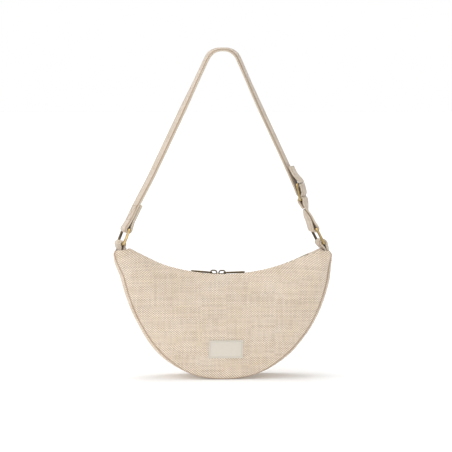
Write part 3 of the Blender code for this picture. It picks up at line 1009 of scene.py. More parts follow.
    def settle(self, point: Vector) -> Vector:
        """Where a point of the body comes to hang: leaning right, with its horns spread.

        Args:
            point: Its place on the even shape.

        Returns:
            Its place as the bag hangs.
        """
        lean, low = (
            eased(-point.z, *ramps[:2]) * (1 - eased(-point.z, *ramps[2:]))
            for ramps in (self.lean_ramps, self.low_ramps)
        )
        at_top = eased(point.z, *self.top_ramp)
        dropped = self.right_drop * eased(point.x, *self.right_ramp)
        dropped += self.corner_drop * eased(point.x, *self.corner_ramp)
        aside = copysign(self.horn_spread, point.x)
        spread = aside * eased(abs(point.x), *self.spread_ramp) * at_top
        sag = (self.low_lean + self.low_spread * point.x) * low
        return point + flat(self.lean * lean + spread + sag, -dropped * at_top)

    def settled(self, shape: Mesh) -> Mesh:
        """The whole mesh as the bag hangs."""
        for corner in shape.verts:
            corner.co = self.settle(corner.co)
        return shape

    def lip(self, u: float, side: Side) -> float:
        """How far the mouth's folded edge stands above the zip.

        Args:
            u: Share along the mouth.
            side: Which panel.

        Returns:
            The height.
        """
        tall = self.front_lip if side is Side.FRONT else self.back_lip
        if u < 0 and side is Side.FRONT:
            raised = blend(tall, self.left_lip, eased(-u, 0.55, 0.85))
            return blend(raised, self.horn_lip, eased(-u, 0.975, 1.0))
        fade = eased(-u, 0.50, 0.80) if u < 0 else eased(u, 0.72, 1.0)
        return blend(tall, self.horn_lip, fade)

    def middle_share(self, u: float) -> float:
        """1 in the bag's middle and 0 at the horns."""
        return cos(min(abs(u), 1) * pi / 2)

    def gusset_half(self, u: float) -> float:
        """Half the bag's depth at the rim."""
        return blend(self.mouth_half, self.base_half, self.middle_share(u) ** self.fullness)

    def panel_half(self, u: float, v: float) -> float:
        """Half the bag's depth over the panel.

        Args:
            u: Share along it.
            v: Share down it, from 0 at the mouth to 1 at the rim.

        Returns:
            The half depth.
        """
        swell = blend(self.horn_bulge, self.bulge, self.middle_share(u) ** self.fullness)
        shaped = sin(pi * min(max(v, 0), 1) ** (1 / (2 * self.bulge_low)))
        return blend(self.mouth_half, self.gusset_half(u), v) + swell * max(shaped, 0)

    def relief(self, u: float, v: float, side: Side, place: Vector, reach: float) -> float:
        """How far the sewn cloth stands out of its plain shape.

        Args:
            u: Share along the panel.
            v: Share down the panel.
            side: Which panel.
            place: The plain shape's point.
            reach: The panel's height at u.

        Returns:
            The distance outwards.
        """
        middle = sin(pi * min(max(v, 0), 1)) * min(1, reach / 0.05)
        spot = place + Vector((0, side.value * 3, 0))
        slack = wander(spot, 0.060) * self.slack + wander(spot, 0.024) * self.fine_slack
        from_rim = (1 - v) * reach
        from_mouth = v * reach
        run = u * self.rim_length()
        pucker = self.gathered(run, place)
        pucker *= exp(-from_rim / self.pucker_reach) * (1 - exp(-from_rim / 0.0012))
        ease = sin(run / self.ease_run * 2 * pi + wander(place, 0.04) * 5 + side.value)
        top = ease * exp(-from_mouth / self.ease_reach) * min(1, reach / 0.03)
        free = 1 - exp(-min(from_rim, from_mouth) / self.stitched)
        folded = sum(fold.at(place) for fold in self.folds) * free
        return slack * middle + folded + pucker * self.pucker + top * self.ease

    def gathered(self, run: float, place: Vector) -> float:
        """The wave that the seam's gathers make along the rim, uneven as sewing is."""
        return sin(run / self.gather * 2 * pi + wander(place, 0.03) * 4)

    def rolled(self, distance: float, width: float) -> float:
        """How far a rolled edge has turned back at a distance from it, from 0 to 1."""
        turn = max(1 - distance / width, 0)
        return 1 - sqrt(max(1 - turn * turn, 0))

    def panel_point(self, u: float, v: float, side: Side, out: float = 0.0) -> Vector:
        """A point on a dressed panel.

        Args:
            u: Share along it, -1 at the left horn and 1 at the right.
            v: Share down it, 0 at the mouth and 1 at the rim.
            side: Which panel.
            out: How far outside the cloth.

        Returns:
            The point.
        """
        top = self.on_arc(u * self.horn_angle, 0, self.lip(u, side))
        low = self.rim(u, self.seam_inset)
        reach = (low - top).length
        point = blend(top, low, v)
        half = self.panel_half(u, v)
        half -= self.roll_depth * self.rolled((1 - v) * reach, self.roll) * min(1, reach / 0.03)
        half -= self.mouth_roll * 0.8 * self.rolled(v * reach, self.mouth_roll)
        half += self.relief(u, v, side, point, reach)
        point.y = side.value * (half + out)
        return point

    def turned_in(self, u: float, depth: float, side: Side) -> Vector:
        """A point of the hem inside the mouth.

        Args:
            u: Share along the mouth.
            depth: How far from its fold, down towards the zip.
            side: Which panel.

        Returns:
            The point.
        """
        edge = self.panel_point(u, 0, side)
        tall = self.lip(u, side)
        share = depth / self.hem
        rise = tall - (tall + self.hem_sink) * share
        inside = edge.y - side.value * self.hem_thick * sin(share * pi / 2)
        return self.on_arc(u * self.horn_angle, inside, rise)

    def panel(self, side: Side) -> Mesh:
        """The sheet of one panel, its hem turned in along the mouth and its edge rolled at the rim.

        Args:
            side: Which panel.

        Returns:
            The sheet.
        """
        hem_rows = 3
        body_rows = self.rows - hem_rows

        def shares(a: float, b: float) -> tuple[float, float, float]:
            """Where a point of the grid lies on the panel.

            Args:
                a: Its share along the grid.
                b: Its share up the grid.

            Returns:
                The panel's shares along and down, and the depth in the hem.
            """
            row = (1 - b) / 2 * self.rows
            if row < hem_rows:
                return a, 0.0, (1 - row / hem_rows) * self.hem
            t = (row - hem_rows) / body_rows
            packed = blend(t, (1 - cos(t * pi)) / 2, 0.72)
            return a, packed, 0.0

        def surface(a: float, b: float) -> Vector:
            """The point of the panel or its hem."""
            u, v, depth = shares(a, b)
            return self.turned_in(u, depth, side) if depth else self.panel_point(u, v, side)

        def weave(a: float, b: float) -> Vector:
            """Where that point lies on the flat cloth.

            Args:
                a: Its share along the grid.
                b: Its share up the grid.

            Returns:
                The place, and the painted shade along the seam.
            """
            u, v, depth = shares(a, b)
            top = self.on_arc(u * self.horn_angle, 0)
            low = self.rim(u, self.seam_inset)
            place = blend(top, low, v)
            near_rim = (1 - v) * (low - top).length
            # Painted shade: a dark line along the rim's seam, where the cloth turns into the groove.
            dark = 0.95 * exp(-((near_rim / 0.0013) ** 2)) if not depth else 0.0
            return Vector((place.x, place.z + depth, dark))

        shape = cloth(self.columns, self.rows, surface, weave)
        if side is Side.BACK:
            bmesh.ops.reverse_faces(shape, faces=shape.faces)
        return shape

    def gusset(self) -> Mesh:
        """The sheet of the gusset, tucked under both panels' edges and rounded over at its shoulders.

        Returns:
            The sheet.
        """

        def surface(u: float, w: float) -> Vector:
            """A point of the gusset.

            Args:
                u: Its share along the rim.
                w: Its share across, from -1 at the front to 1 at the back.

            Returns:
                The point.
            """
            outer = self.rim(u, 0)
            low = self.rim(u, self.seam_inset + self.tuck)
            stand = max(1 - abs(w) ** self.roundness, 0) ** (1 / self.roundness)
            point = blend(low, outer, stand)
            half = self.gusset_half(u)
            half -= self.setback * min(1, half / self.base_half + 0.2)
            run = u * self.rim_length()
            sway = wander(Vector((run, w * 0.03, 5)), 0.030) * 0.0005
            pull = self.gathered(run, Vector((run, 1, 1))) * 0.0004 * abs(w) ** 3 * (1 - abs(w)) * 4
            inward = (low - outer).normalized() if (low - outer).length > 1e-6 else flat(0, 1)
            point -= inward * min(sway + pull, 0.0004) * min(1, 12 * (1 - abs(u)))
            point.z = max(point.z, -self.bottom_drop)
            point.y = w * half
            return point

        def weave(u: float, w: float) -> Vector:
            """The place on the flat cloth, with painted shade where it is tucked in."""
            dark = 0.8 * eased(abs(w), 0.965, 1.0)
            return Vector((w * self.gusset_half(u) + 0.3, u * self.rim_length(), dark))

        def packed(made: Surface) -> Surface:
            """The same surface with its rows closer together at the shoulders."""
            return lambda a, b: made(a, sin(b * pi / 2))

        shape = cloth(260, 36, packed(surface), packed(weave))
        bmesh.ops.reverse_faces(shape, faces=shape.faces)
        return shape

    def on_panel(self, x: float, z: float) -> tuple[float, float]:
        """The panel's two shares at a place seen from the front.

        Args:
            x: Its place across.
            z: Its height.

        Returns:
            The shares along and down.
        """
        u, v = x / self.half_width, 0.5
        for _ in range(40):
            top = self.on_arc(u * self.horn_angle, 0)
            low = self.rim(u, self.seam_inset)
            v = (top.z - z) / (top.z - low.z)
            u += (x - blend(top.x, low.x, v)) / (2 * self.half_width)
        return u, v

    def build(self, finishes: Wardrobe) -> None:
        """Makes the panels and the gusset.

        Args:
            finishes: The bag's materials.
        """
        for side in Side:
            sheet = self.settled(self.panel(side))
            name = f"{side.word}_panel"
            piece = publish(f"{side.word}_canvas", sheet, finishes.canvas, "bag", "linen", name)
            thicken(piece, self.wall)
        sheet = self.settled(self.gusset())
        band = publish("gusset_canvas", sheet, finishes.canvas, "bag", "linen", "gusset")
        thicken(band, self.wall)


def arc_about(centre: Vector, radius: float, start: float, end: float, steps: int = 16) -> list[Vector]:
    """Points about a centre in the bag's plane, at angles from +X towards +Z."""
    turns = [blend(start, end, i / steps) for i in range(steps + 1)]
    return [centre + flat(cos(turn), sin(turn)) * radius for turn in turns]


def heading(direction: Vector) -> float:
    """The angle of a direction in the bag's plane, from +X towards +Z."""
    return atan2(direction.z, direction.x)


def finely(route: Sequence[Vector], step: float) -> list[Vector]:
    """Puts more points in a route.

    Args:
        route: The route.
        step: The furthest that two points may lie apart.

    Returns:
        The route with points added.
    """
    made = [route[0]]
    for start, end in zip(route, route[1:]):
        count = max(ceil((end - start).length / step), 1)
        made += [blend(start, end, i / count) for i in range(1, count + 1)]
    return made


def settled(route: Sequence[Vector], rounds: int) -> list[Vector]:
    """Eases the kinks of a route, as cloth takes them.

    Args:
        route: The route.
        rounds: How many times each point moves towards its neighbours.

    Returns:
        The eased route, with the same ends.
    """
    points = list(route)
    for _ in range(rounds):
        inner = [(a + b * 2 + c) / 4 for a, b, c in zip(points, points[1:], points[2:])]
        points = [points[0], *inner, points[-1]]
    return points


def directions(line: Sequence[Vector], closed: bool = False) -> list[Vector]:
    """The way that a line runs at each of its points.

    Args:
        line: Its points.
        closed: Whether the last point joins the first.

    Returns:
        One direction for each point.
    """
    made = []
    for i in range(len(line)):
        ahead = (i + 1) % len(line) if closed else min(i + 1, len(line) - 1)
        behind = i - 1 if closed else max(i - 1, 0)
        made.append((line[ahead] - line[behind]).normalized())
    return made


@dataclass
class Webbing:
    """The strap's route over the crown and through its fittings, and the folded canvas laid on it."""

    width: float = 0.025
    thick: float = 0.0038
    layer_gap: float = 0.0003
    crown_half: float = 0.0185
    crown_bend: float = 0.0230
    ring_wire: float = 0.0020
    glide_wire: float = 0.0018
    loop_gap: float = 0.0004
    open_gap: float = 0.0013
    ring_shift: float = 0.0028
    ring_top_half: float = 0.1470
    ring_top_drop: float = 0.2807
    ring_low_half: float = 0.1590
    ring_low_drop: float = 0.3040
    fold_length: float = 0.0300
    fold_close: float = 0.0130
    glide_close: float = 0.0085
    short_length: float = 0.0495
    ring_fold: float = 0.0335
    glide_fold: float = 0.0135
    glide_pitch: float = 0.0130
    glide_lean: float = 0.0022
    glide_slack: float = 0.0019
    tail_length: float = 0.0310
    tail_close: float = 0.62
    tab_drop: float = 0.0200
    tab_shift: float = 0.0020
    tab_close: float = 0.0085
    left_spread: float = 0.0045
    right_spread: float = 0.0078
    seam_share: float = 0.80
    fold_share: float = 0.895
    crown_turn: float = radians(8)
    left_turn: float = radians(18)
    right_turn: float = radians(-20)
    glide_turn: float = radians(-20)
    left_ring_turn: float = radians(17)
    right_ring_turn: float = radians(12)
    roll: float = radians(7)
    left_bow: float = 0.0025
    right_bow: float = 0.0036
    crown_ramp: Ramp = (0.004, 0.120)
    glide_ramp: Ramp = (0.196, 0.228)
    left_ring_ramp: Ramp = (0.256, 0.276)
    right_ring_ramp: Ramp = (0.240, 0.264)
    roll_drop: float = 0.060
    fold_margin: float = 0.002
    stitch_lift: float = 0.0002
    bare_end: float = 0.003
    tab_bare_end: float = 0.004
    step: float = 0.0022
    groove: float = 0.00042
    groove_share: float = 0.028
    fullness: float = 0.00012
    shares: tuple[float, ...] = (0.12, 0.38, 0.62, 0.74, 0.77, 0.80, 0.835, 0.87, 0.905, 0.945, 0.985)

    def __post_init__(self) -> None:
        """Works out the bars' centres and the loops' radii."""
        over = flat(-self.ring_shift, 0)
        self.top, self.low = (
            {hand: over + flat(hand.value * half, -drop) for hand in Hand}
            for half, drop in (
                (self.ring_top_half, self.ring_top_drop),
                (self.ring_low_half, self.ring_low_drop),
            )
        )
        self.corner = {hand: flat(hand.value * self.crown_half, self.thick / 2) for hand in Hand}
        self.ring_loop = self.ring_wire + self.loop_gap + self.thick / 2
        self.glide_loop = self.glide_wire + self.loop_gap + self.thick / 2
        self.layer = (self.thick + self.layer_gap) / 2

    def turn(self, point: Vector) -> float:
        """How far the hung strap is turned, so that both runs show their outer faces.

        Args:
            point: A place on it.

        Returns:
            The angle about the run.
        """
        share = eased(-point.z, *self.crown_ramp)
        over = eased(point.x, -self.crown_half, self.crown_half)
        at_crown = blend(self.crown_turn, -1.8 * self.crown_turn, over)
        if point.x < 0:
            at_ring = eased(-point.z, *self.left_ring_ramp)
            return blend(blend(at_crown, self.left_turn, share), self.left_ring_turn, at_ring)
        above = blend(at_crown, self.right_turn, share)
        beside = blend(above, self.glide_turn, eased(-point.z, *self.glide_ramp))
        return blend(beside, self.right_ring_turn, eased(-point.z, *self.right_ring_ramp))

    def swung(self, point: Vector) -> Vector:
        """Turns a point with the strap, less and less over the tabs and the bag.

        Args:
            point: Its place on the straight strap.

        Returns:
            Its place on the hung one.
        """
        fade = eased(point.z, -self.ring_low_drop - 0.019, -self.ring_low_drop - 0.004)
        lifted = eased(point.z, -self.roll_drop, -self.crown_ramp[0])
        aside = -point.y * tan(self.turn(point)) * fade
        return point + Vector((aside + self.bow(point), 0, point.y * tan(self.roll) * lifted))

    def bow(self, point: Vector) -> float:
        """How far the strap hangs out of its straight line, at the left ring and at the adjuster.

        Args:
            point: A place on it.

        Returns:
            The distance along X.
        """
        if point.x < 0:
            return -self.left_bow * eased(-point.z, 0.190, 0.255) * (1 - eased(-point.z, 0.278, 0.306))
        return self.right_bow * eased(-point.z, 0.050, 0.205) * (1 - eased(-point.z, 0.222, 0.262))

    def swing(self, shape: Mesh) -> Mesh:
        """Turns a whole mesh with the strap."""
        for corner in shape.verts:
            corner.co = self.swung(corner.co)
        return shape

    def run_frame(self, hand: Hand) -> tuple[Vector, Vector]:
        """The direction up a side's straight run, and its outward normal."""
        up = (self.corner[hand] - self.top[hand]).normalized()
        return up, flat(-up.z, up.x) * -hand.value

    def crown_bend_points(self, hand: Hand) -> list[Vector]:
        """The bend at one end of the crown.

        Args:
            hand: Which end.

        Returns:
            Its points, from the run to the flat.
        """
        up, outward = self.run_frame(hand)
        sideways = heading(outward)
        turn = abs(pi / 2 - sideways)
        inward = (up + flat(hand.value, 0)).normalized()
        centre = self.corner[hand] - inward * (self.crown_bend / cos(turn / 2))
        return arc_about(centre, self.crown_bend, sideways, pi / 2)

    def glide_bars(self) -> tuple[Vector, Vector, Vector]:
        """Where the adjuster's bars lie.

        Returns:
            The middles of its lower, middle and upper bars.
        """
        up, outward = self.run_frame(Hand.RIGHT)
        low = self.top[Hand.RIGHT] + up * self.short_length
        rise = sqrt(self.glide_pitch**2 - self.glide_lean**2)
        middle = low + up * rise + outward * self.glide_lean
        return low, middle, middle * 2 - low

    def strap_route(self) -> list[Vector]:
        """The long strap, from its fold on the left ring over the crown to the adjuster's middle bar.

        Returns:
            Its centre line.
        """
        up, outward = self.run_frame(Hand.LEFT)
        bar = self.top[Hand.LEFT]
        inner = heading(-outward)
        points = [bar + up * (self.fold_close + self.fold_length) - outward * self.layer]
        points.append(bar + up * self.fold_close - outward * self.layer)
        points += arc_about(bar, self.ring_loop, inner, inner - pi)
        points.append(bar + up * self.fold_close + outward * self.layer)
        points += self.crown_bend_points(Hand.LEFT)
        points += reversed(self.crown_bend_points(Hand.RIGHT))
        middle, top = self.glide_bars()[1:]
        right_out = self.run_frame(Hand.RIGHT)[1]
        glide_up = (top - middle).normalized()
        glide_out = flat(glide_up.z, -glide_up.x)
        points.append(middle - right_out * self.glide_loop)
        start = heading(-right_out)
        start -= 2 * pi if start > 0 else 0
        wrap = arc_about(middle, self.glide_loop, start, heading(glide_out))
        for i, point in enumerate(wrap):
            wrap[i] = point - glide_up * self.glide_slack * sin(pi * i / (len(wrap) - 1))
        points += wrap
        points.append(top + glide_out * self.glide_loop)
        return points

    def tail_route(self) -> list[Vector]:
        """The strap's free end, lying up the outer side of the right run.

        Returns:
            Its centre line.
        """
        low, middle, top = self.glide_bars()
        up, outward = self.run_frame(Hand.RIGHT)
        glide_up = (top - middle).normalized()
        glide_out = flat(glide_up.z, -glide_up.x)
        start = top + glide_out * self.glide_loop + glide_up * self.thick / 4
        along = (top - low).dot(up) + self.short_length
        base = self.top[Hand.RIGHT] + outward * 2 * self.layer
        close = base + up * (along + self.tail_length * self.tail_close)
        end = base + up * (along + self.tail_length)
        reach = (close - start).length / 3
        curve = (start, start + glide_up * reach, close - up * reach, close)
        return [cubic(curve, i / 12) for i in range(13)] + [end]

    def short_route(self) -> list[Vector]:
        """The short strap, folded round the right ring and the adjuster's lower bar.

        Returns:
            Its centre line.
        """
        up, outward = self.run_frame(Hand.RIGHT)
        low = self.glide_bars()[0]
        bar = self.top[Hand.RIGHT]
        inner, outer = heading(-outward), heading(outward)
        side = outward * self.layer
        points = [bar + up * self.ring_fold - side, bar + up * self.fold_close - side]
        points += arc_about(bar, self.ring_loop, inner, inner + pi)
        points += [bar + up * self.fold_close + side, low - up * self.glide_close + side]
        points += arc_about(low, self.glide_loop, outer, outer + pi)
        points += [low - up * self.glide_close - side, low - up * self.glide_fold - side]
        return points

    def tab_route(self, hand: Hand) -> list[Vector]:
        """A ring tab, folded over the ring's lower bar, with both layers running down into the horn.

        Args:
            hand: The bag's end.

        Returns:
            Its centre line.
        """
        bar = self.low[hand]
        gap = self.open_gap if hand is Hand.RIGHT else self.loop_gap
        radius = self.ring_wire + gap + self.thick / 2
        root = flat(hand.value * (self.ring_low_half + self.tab_shift), bar.z - self.tab_drop)
        close = bar + flat(self.tab_shift, -self.tab_close)
        spread = self.right_spread if hand is Hand.RIGHT else self.left_spread
        root += flat(hand.value * spread, -spread)
        close.x += hand.value * spread * 0.4
        side = flat(hand.value * self.layer, 0)
        inner = pi if hand is Hand.RIGHT else 0
        points = [root - side, close - side]
        points += arc_about(bar, radius, inner, pi - inner)
        return [*points, close + side, root + side]

    def stations(self, route: Sequence[Vector], ease: int = 5) -> list[Station]:
        """Places the band's section along a route.

        Args:
            route: The band's centre line.
            ease: How many rounds ease its kinks.

        Returns:
            Stations close together.
        """
        points = settled(finely(route, self.step), ease)
        return [
            Station(point, ACROSS, flat(-along.z, along.x), run)
            for point, along, run in zip(points, directions(points), runs(points))
        ]

    def face_height(self, share: float) -> float:
        """How high the band's face stands over its middle.

        Args:
            share: The place across it, from 0 at its centre line to 1 at its edge.

        Returns:
            The height.
        """
        half = self.thick / 2
        edge = half / (self.width / 2)
        if share > 1 - edge:
            return half * sqrt(max(1 - ((share - 1 + edge) / edge) ** 2, 0))
        dip = exp(-(((share - self.seam_share) / self.groove_share) ** 2)) * self.groove
        return half - dip + self.fullness * (1 - share * share)

    def section(self) -> list[tuple[float, float]]:
        """The band's closed section, with soft folded edges and a dip along each row of stitches.

        Returns:
            Its points, across and up.
        """
        half = self.width / 2
        top = [(share * half, self.face_height(share)) for share in self.shares]
        left = [(-a, b) for a, b in reversed(top)]
        upper = [(-half, 0.0), *left, *top, (half, 0.0)]
        return upper + [(a, -b) for a, b in reversed(upper[1:-1])]

    def mark(self, share: float, outer: bool) -> float:
        """How dark the cloth is painted along its seams and its outer fold, as painted shade.

        Args:
            share: The share of the band's half width.
            outer: Whether it is the outer face.

        Returns:
            The painted shade's depth.
        """
        # Painted shade along the stitch rows and along the outer face's fold, where it meets the edge.
        sewn = 0.45 * exp(-(((abs(share) - self.seam_share) / 0.035) ** 2))
        folded = exp(-(((abs(share) - self.fold_share) / 0.075) ** 2)) if outer else 0.0
        return min(sewn + folded, 0.95)

    def band(self, route: Sequence[Vector], crumple: float = 0.0) -> Mesh:
        """The folded canvas along a route.

        Args:
            route: Its centre line.
            crumple: How far its faces wander.

        Returns:
            The closed band, turned with the strap.
        """
        section = self.section()
        marks = [self.mark(a / (self.width / 2), b > 0) for a, b in section]
        shape = sweep(self.stations(route), section, marks=marks)
        # Painted shade: marks the folded edges for the plainer, darker edge tone.
        edge = shape.verts.layers.float.new(EDGE)
        for corner in shape.verts:
            share = abs(corner.co.y) / (self.width / 2)
            corner[edge] = 0.85 * eased(share, self.seam_share + 0.05, 0.97)
        if crumple:
            for corner in shape.verts:
                corner.co += corner.normal * wander(corner.co, 0.011) * crumple
        return self.swing(shape)

    def seams(self, route: Sequence[Vector], trim: float) -> Mesh:
        """Sews both edges of a band, on both faces.

        Args:
            route: The band's centre line.
            trim: The length left bare at each end.

        Returns:
            The stitches.
        """
        shape = bmesh.new()
        sewing = Stitching()
        stations = self.stations(route)
        total = stations[-1].run
        kept = [station for station in stations if trim <= station.run <= total - trim]
        lift = self.face_height(self.seam_share) + sewing.radius * 0.45
        for face in (-1, 1):
            for edge in (-1, 1):
                aside = Vector((0, edge * self.seam_share * self.width / 2, 0))
                line = [self.swung(s.origin + aside + s.rise * lift * face) for s in kept]
                sewing.row(shape, line, [s.rise * face for s in kept])
        return shape

    def fold_seams(self, shape: Mesh) -> None:
        """Sews down the strap's fold over the left ring: two rows and a cross, on both faces.

        Args:
            shape: The mesh that takes the stitches.
        """
        up, outward = self.run_frame(Hand.LEFT)
        start = self.top[Hand.LEFT] + up * (self.fold_close + self.fold_margin)
        length = self.fold_length - 3 * self.fold_margin
        half = self.width / 2 * self.seam_share
        sewing = Stitching()
        for out in (outward, -outward):
            lift = out * (self.layer + self.thick / 2 + self.stitch_lift)
            low = [start + ACROSS * side * half + lift for side in (-1, 1)]
            high = [point + up * length for point in low]
            for a, b in ((low[0], low[1]), (high[0], high[1]), (low[0], high[1]), (low[1], high[0])):
                line = finely([a, b], 0.002)
                sewing.row(shape, [self.swung(p) for p in line], [out] * len(line))

    def follow(self, piece: bpy.types.Object, body: str, ring: str, bar: Vector, away: Vector) -> None:
        """Lets a loop turn with its ring, and bend into its own body further on.

        Args:
            piece: The canvas or its stitches.
            body: The body that the rest of it rides on.
            ring: The ring's body.
            bar: The bar that the loop goes round.
            away: The way from the bar to the rest of the piece.
        """
        reach = min(self.fold_close, self.tab_drop * 0.75) * 1.2
        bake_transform(piece, body, ring, start=tuple(bar + away * reach), end=tuple(bar + away * 0.003))

    def build(self, finishes: Wardrobe) -> None:
        """Makes the straps, the tail, the tabs and their stitches.

        Args:
            finishes: The bag's materials.
        """
        finish, thread = finishes.webbing, finishes.thread
        left, right = Hand.LEFT, Hand.RIGHT
        up = {hand: self.run_frame(hand)[0] for hand in Hand}
        straps = (
            ("strap", self.strap_route(), 0.00016, left),
            ("short_strap", self.short_route(), 0.00014, right),
        )
        for name, route, crumple, hand in straps:
            threads = self.seams(route, self.bare_end)
            if hand is left:
                self.fold_seams(threads)
            pieces = (
                publish(f"{name}_canvas", self.band(route, crumple), finish, "", "webbing", name),
                publish(f"{name}_stitches", threads, thread, "", "webbing"),
            )
            for piece in pieces:
                self.follow(piece, "strap", f"{hand.word}_ring", self.top[hand], up[hand])
        band = self.band(self.tail_route())
        tail = publish("strap_tail_canvas", band, finish, "", "webbing", "strap_tail")
        top = self.glide_bars()[2]
        far = top + up[right] * self.tail_length * 0.8
        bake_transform(tail, "strap", "tail", start=tuple(top), end=tuple(far))
        for hand in Hand:
            route = self.tab_route(hand)
            name = f"{hand.word}_tab"
            body = "bag" if hand is right else ""
            pieces = (
                publish(f"{name}_canvas", self.band(route), finish, body, "webbing", name),
                publish(f"{name}_stitches", self.seams(route, self.tab_bare_end), thread, body, "webbing"),
            )
            for piece in pieces if hand is left else ():
                self.follow(piece, "bag", "left_ring", self.low[left], -UP)


@dataclass
class Fittings:
    """The two rings and the adjuster, of aged brass wire."""

    webbing: Webbing
    side_gap: float = 0.0010
    ring_corner: float = 0.0034
    ring_knuckle: float = 0.16
    glide_corner: float = 0.0026
    glide_knuckle: float = 0.12
    bar_share: float = 0.94
    bar_foot: float = 0.35

    def wire_loop(
        self, first: Vector, second: Vector, wire: float, corner: float, knuckle: float
    ) -> Mesh:
        """A rectangular loop of wire through two bars that lie along Y.

        Args:
            first: The middle of one bar.
            second: The middle of the other.
            wire: The wire's radius.
            corner: The radius of the loop's corners.
            knuckle: How much fuller the corners are than the bars.

        Returns:
            The closed loop, with its wear.
        """
        down = (second - first).normalized()
        face = down.cross(ACROSS)
        half = self.webbing.width / 2 + self.side_gap + wire
        middle = (first + second) / 2
        rise = (second - first).length / 2 - corner
        places: list[tuple[Vector, Vector, float]] = []
        steps, bar_steps = 8, 6
        for quarter in range(4):
            side = 1 if quarter in (0, 3) else -1
            along = 1 if quarter in (0, 1) else -1
            centre = middle + ACROSS * side * (half - corner) + down * along * rise
            for i in range(steps + 1):
                turn = pi / 2 * (quarter + i / steps)
                out = ACROSS * cos(turn) + down * sin(turn)
                full = 1 + knuckle * sin(pi * i / steps)
                places.append((centre + out * corner, out, full))
            near = places[-1][0]
            turn = pi / 2 * (quarter + 1)
            out = ACROSS * cos(turn) + down * sin(turn)
            straight = 2 * rise if quarter in (0, 2) else 2 * (half - corner)
            ahead = ACROSS * -sin(turn) + down * cos(turn)
            for i in range(1, bar_steps):
                places.append((near + ahead * straight * i / bar_steps, out, 1.0))
        lengths = runs([place[0] for place in places])
        stations = [
            Station(origin, out, face, run, full) for (origin, out, full), run in zip(places, lengths)
        ]
        shape = sweep(stations, disc(wire, 14), closed=True)
        wear = shape.verts.layers.float[WEAR]
        shape.normal_update()
        for vertex in shape.verts:
            away = vertex.co - middle
            outward = max(vertex.normal.dot(away.normalized()), 0)
            corner_rub = eased(away.length, half * 0.9, half * 1.25)
            vertex[wear] = 0.08 + 0.42 * outward**2 + 0.42 * corner_rub
        return shape

    def cross_bar(self, centre: Vector, half: float, wire: float) -> Mesh:
        """The adjuster's middle bar, waisted a little between its feet.

        Args:
            centre: Its middle.
            half: Half its length.
            wire: Its radius.

        Returns:
            The closed bar.
        """
        count = 14
        stations = []
        for i in range(count + 1):
            share = 2 * i / count - 1
            foot = 1 + self.bar_foot * abs(share) ** 6
            spot = centre + ACROSS * share * half
            stations.append(Station(spot, flat(1, 0), UP, half * (share + 1), foot))
        return sweep(stations, disc(wire, 12))

    def build(self, finishes: Wardrobe) -> None:
        """Makes both rings and the adjuster.

        Args:
            finishes: The bag's materials.
        """
        straps = self.webbing
        for hand in Hand:
            ends = straps.top[hand], straps.low[hand]
            shape = self.wire_loop(*ends, straps.ring_wire, self.ring_corner, self.ring_knuckle)
            name = f"{hand.word}_ring"
            # Painted shade: the right ring takes the duller brass and the left ring the brighter, though
            # both rings are the same brass.
            finish = finishes.brass if hand is Hand.LEFT else finishes.dull_brass
            publish(f"{name}_brass", straps.swing(shape), finish, name, "aged_brass", name)
        low, middle, top = straps.glide_bars()
        wire = straps.glide_wire
        shape = self.wire_loop(top, low, wire, self.glide_corner, self.glide_knuckle)
        half = straps.width / 2 + self.side_gap + wire
        whole = straps.swing(merge([shape, self.cross_bar(middle, half, wire * self.bar_share)]))
        publish("adjuster_brass", whole, finishes.dull_brass, "strap", "aged_brass", "adjuster")


def bevelled(
    shape: Mesh, edges: Sequence[bmesh.types.BMEdge], width: float, segments: int
) -> dict[str, list[bmesh.types.BMFace]]:
    """Rounds some edges of a mesh.

    Args:
        shape: The mesh.
        edges: The edges.
        width: How far the rounding reaches from each.
        segments: How many faces it has across.

    Returns:
        What the bevel made, its faces among them.
    """
    return bmesh.ops.bevel(
        shape, geom=edges, offset=width, segments=segments, profile=0.5, affect="EDGES", material=-1
    )


def slab(
    outline: Outline,
    low: float,
    high: float,
    edge: float,
    hole: Outline = (),
) -> Mesh:
    """A flat piece of metal with rounded edges.

    Args:
        outline: Its outline, in order round it.
        low: Its lower face's height.
        high: Its upper face's height.
        edge: The width of its rounded edges.
        hole: The outline of an opening through it.

    Returns:
        The closed piece.
    """
    shape = bmesh.new()
    for loop in (outline, hole):
        corners = [shape.verts.new((x, y, low)) for x, y in loop]
        for a, b in zip(corners, [*corners[1:], *corners[:1]]):
            shape.edges.new((a, b))
    bmesh.ops.triangle_fill(shape, use_beauty=True, use_dissolve=True, edges=shape.edges)
    drawn = bmesh.ops.extrude_face_region(shape, geom=shape.faces)
    lifted = [item for item in drawn["geom"] if isinstance(item, bmesh.types.BMVert)]
    bmesh.ops.translate(shape, verts=lifted, vec=(0, 0, high - low))
    bmesh.ops.recalc_face_normals(shape, faces=shape.faces)
    sharp = [item for item in shape.edges if item.calc_face_angle(0) > radians(50)]
    bevelled(shape, sharp, edge, 2)
    return shape


def mirrored(half: Outline) -> list[tuple[float, float]]:
    """A closed outline from the points of its upper half, from one end to the other."""
    return [*half, *((x, -y) for x, y in reversed(half))]


def rub(shape: Mesh, base: float, edges: float) -> Mesh:
    """Marks the wear of a metal piece: little on its faces and more where it is sharp.

    Args:
        shape: The piece.
        base: The wear of a flat face.
        edges: How much more the sharpest edge has.

    Returns:
        The same piece.
    """
    wear = shape.verts.layers.float.get(WEAR) or shape.verts.layers.float.new(WEAR)
    for vertex in shape.verts:
        bend = max((edge.calc_face_angle(0) for edge in vertex.link_edges), default=0)
        vertex[wear] = base + edges * min(bend / radians(45), 1)
    return shape


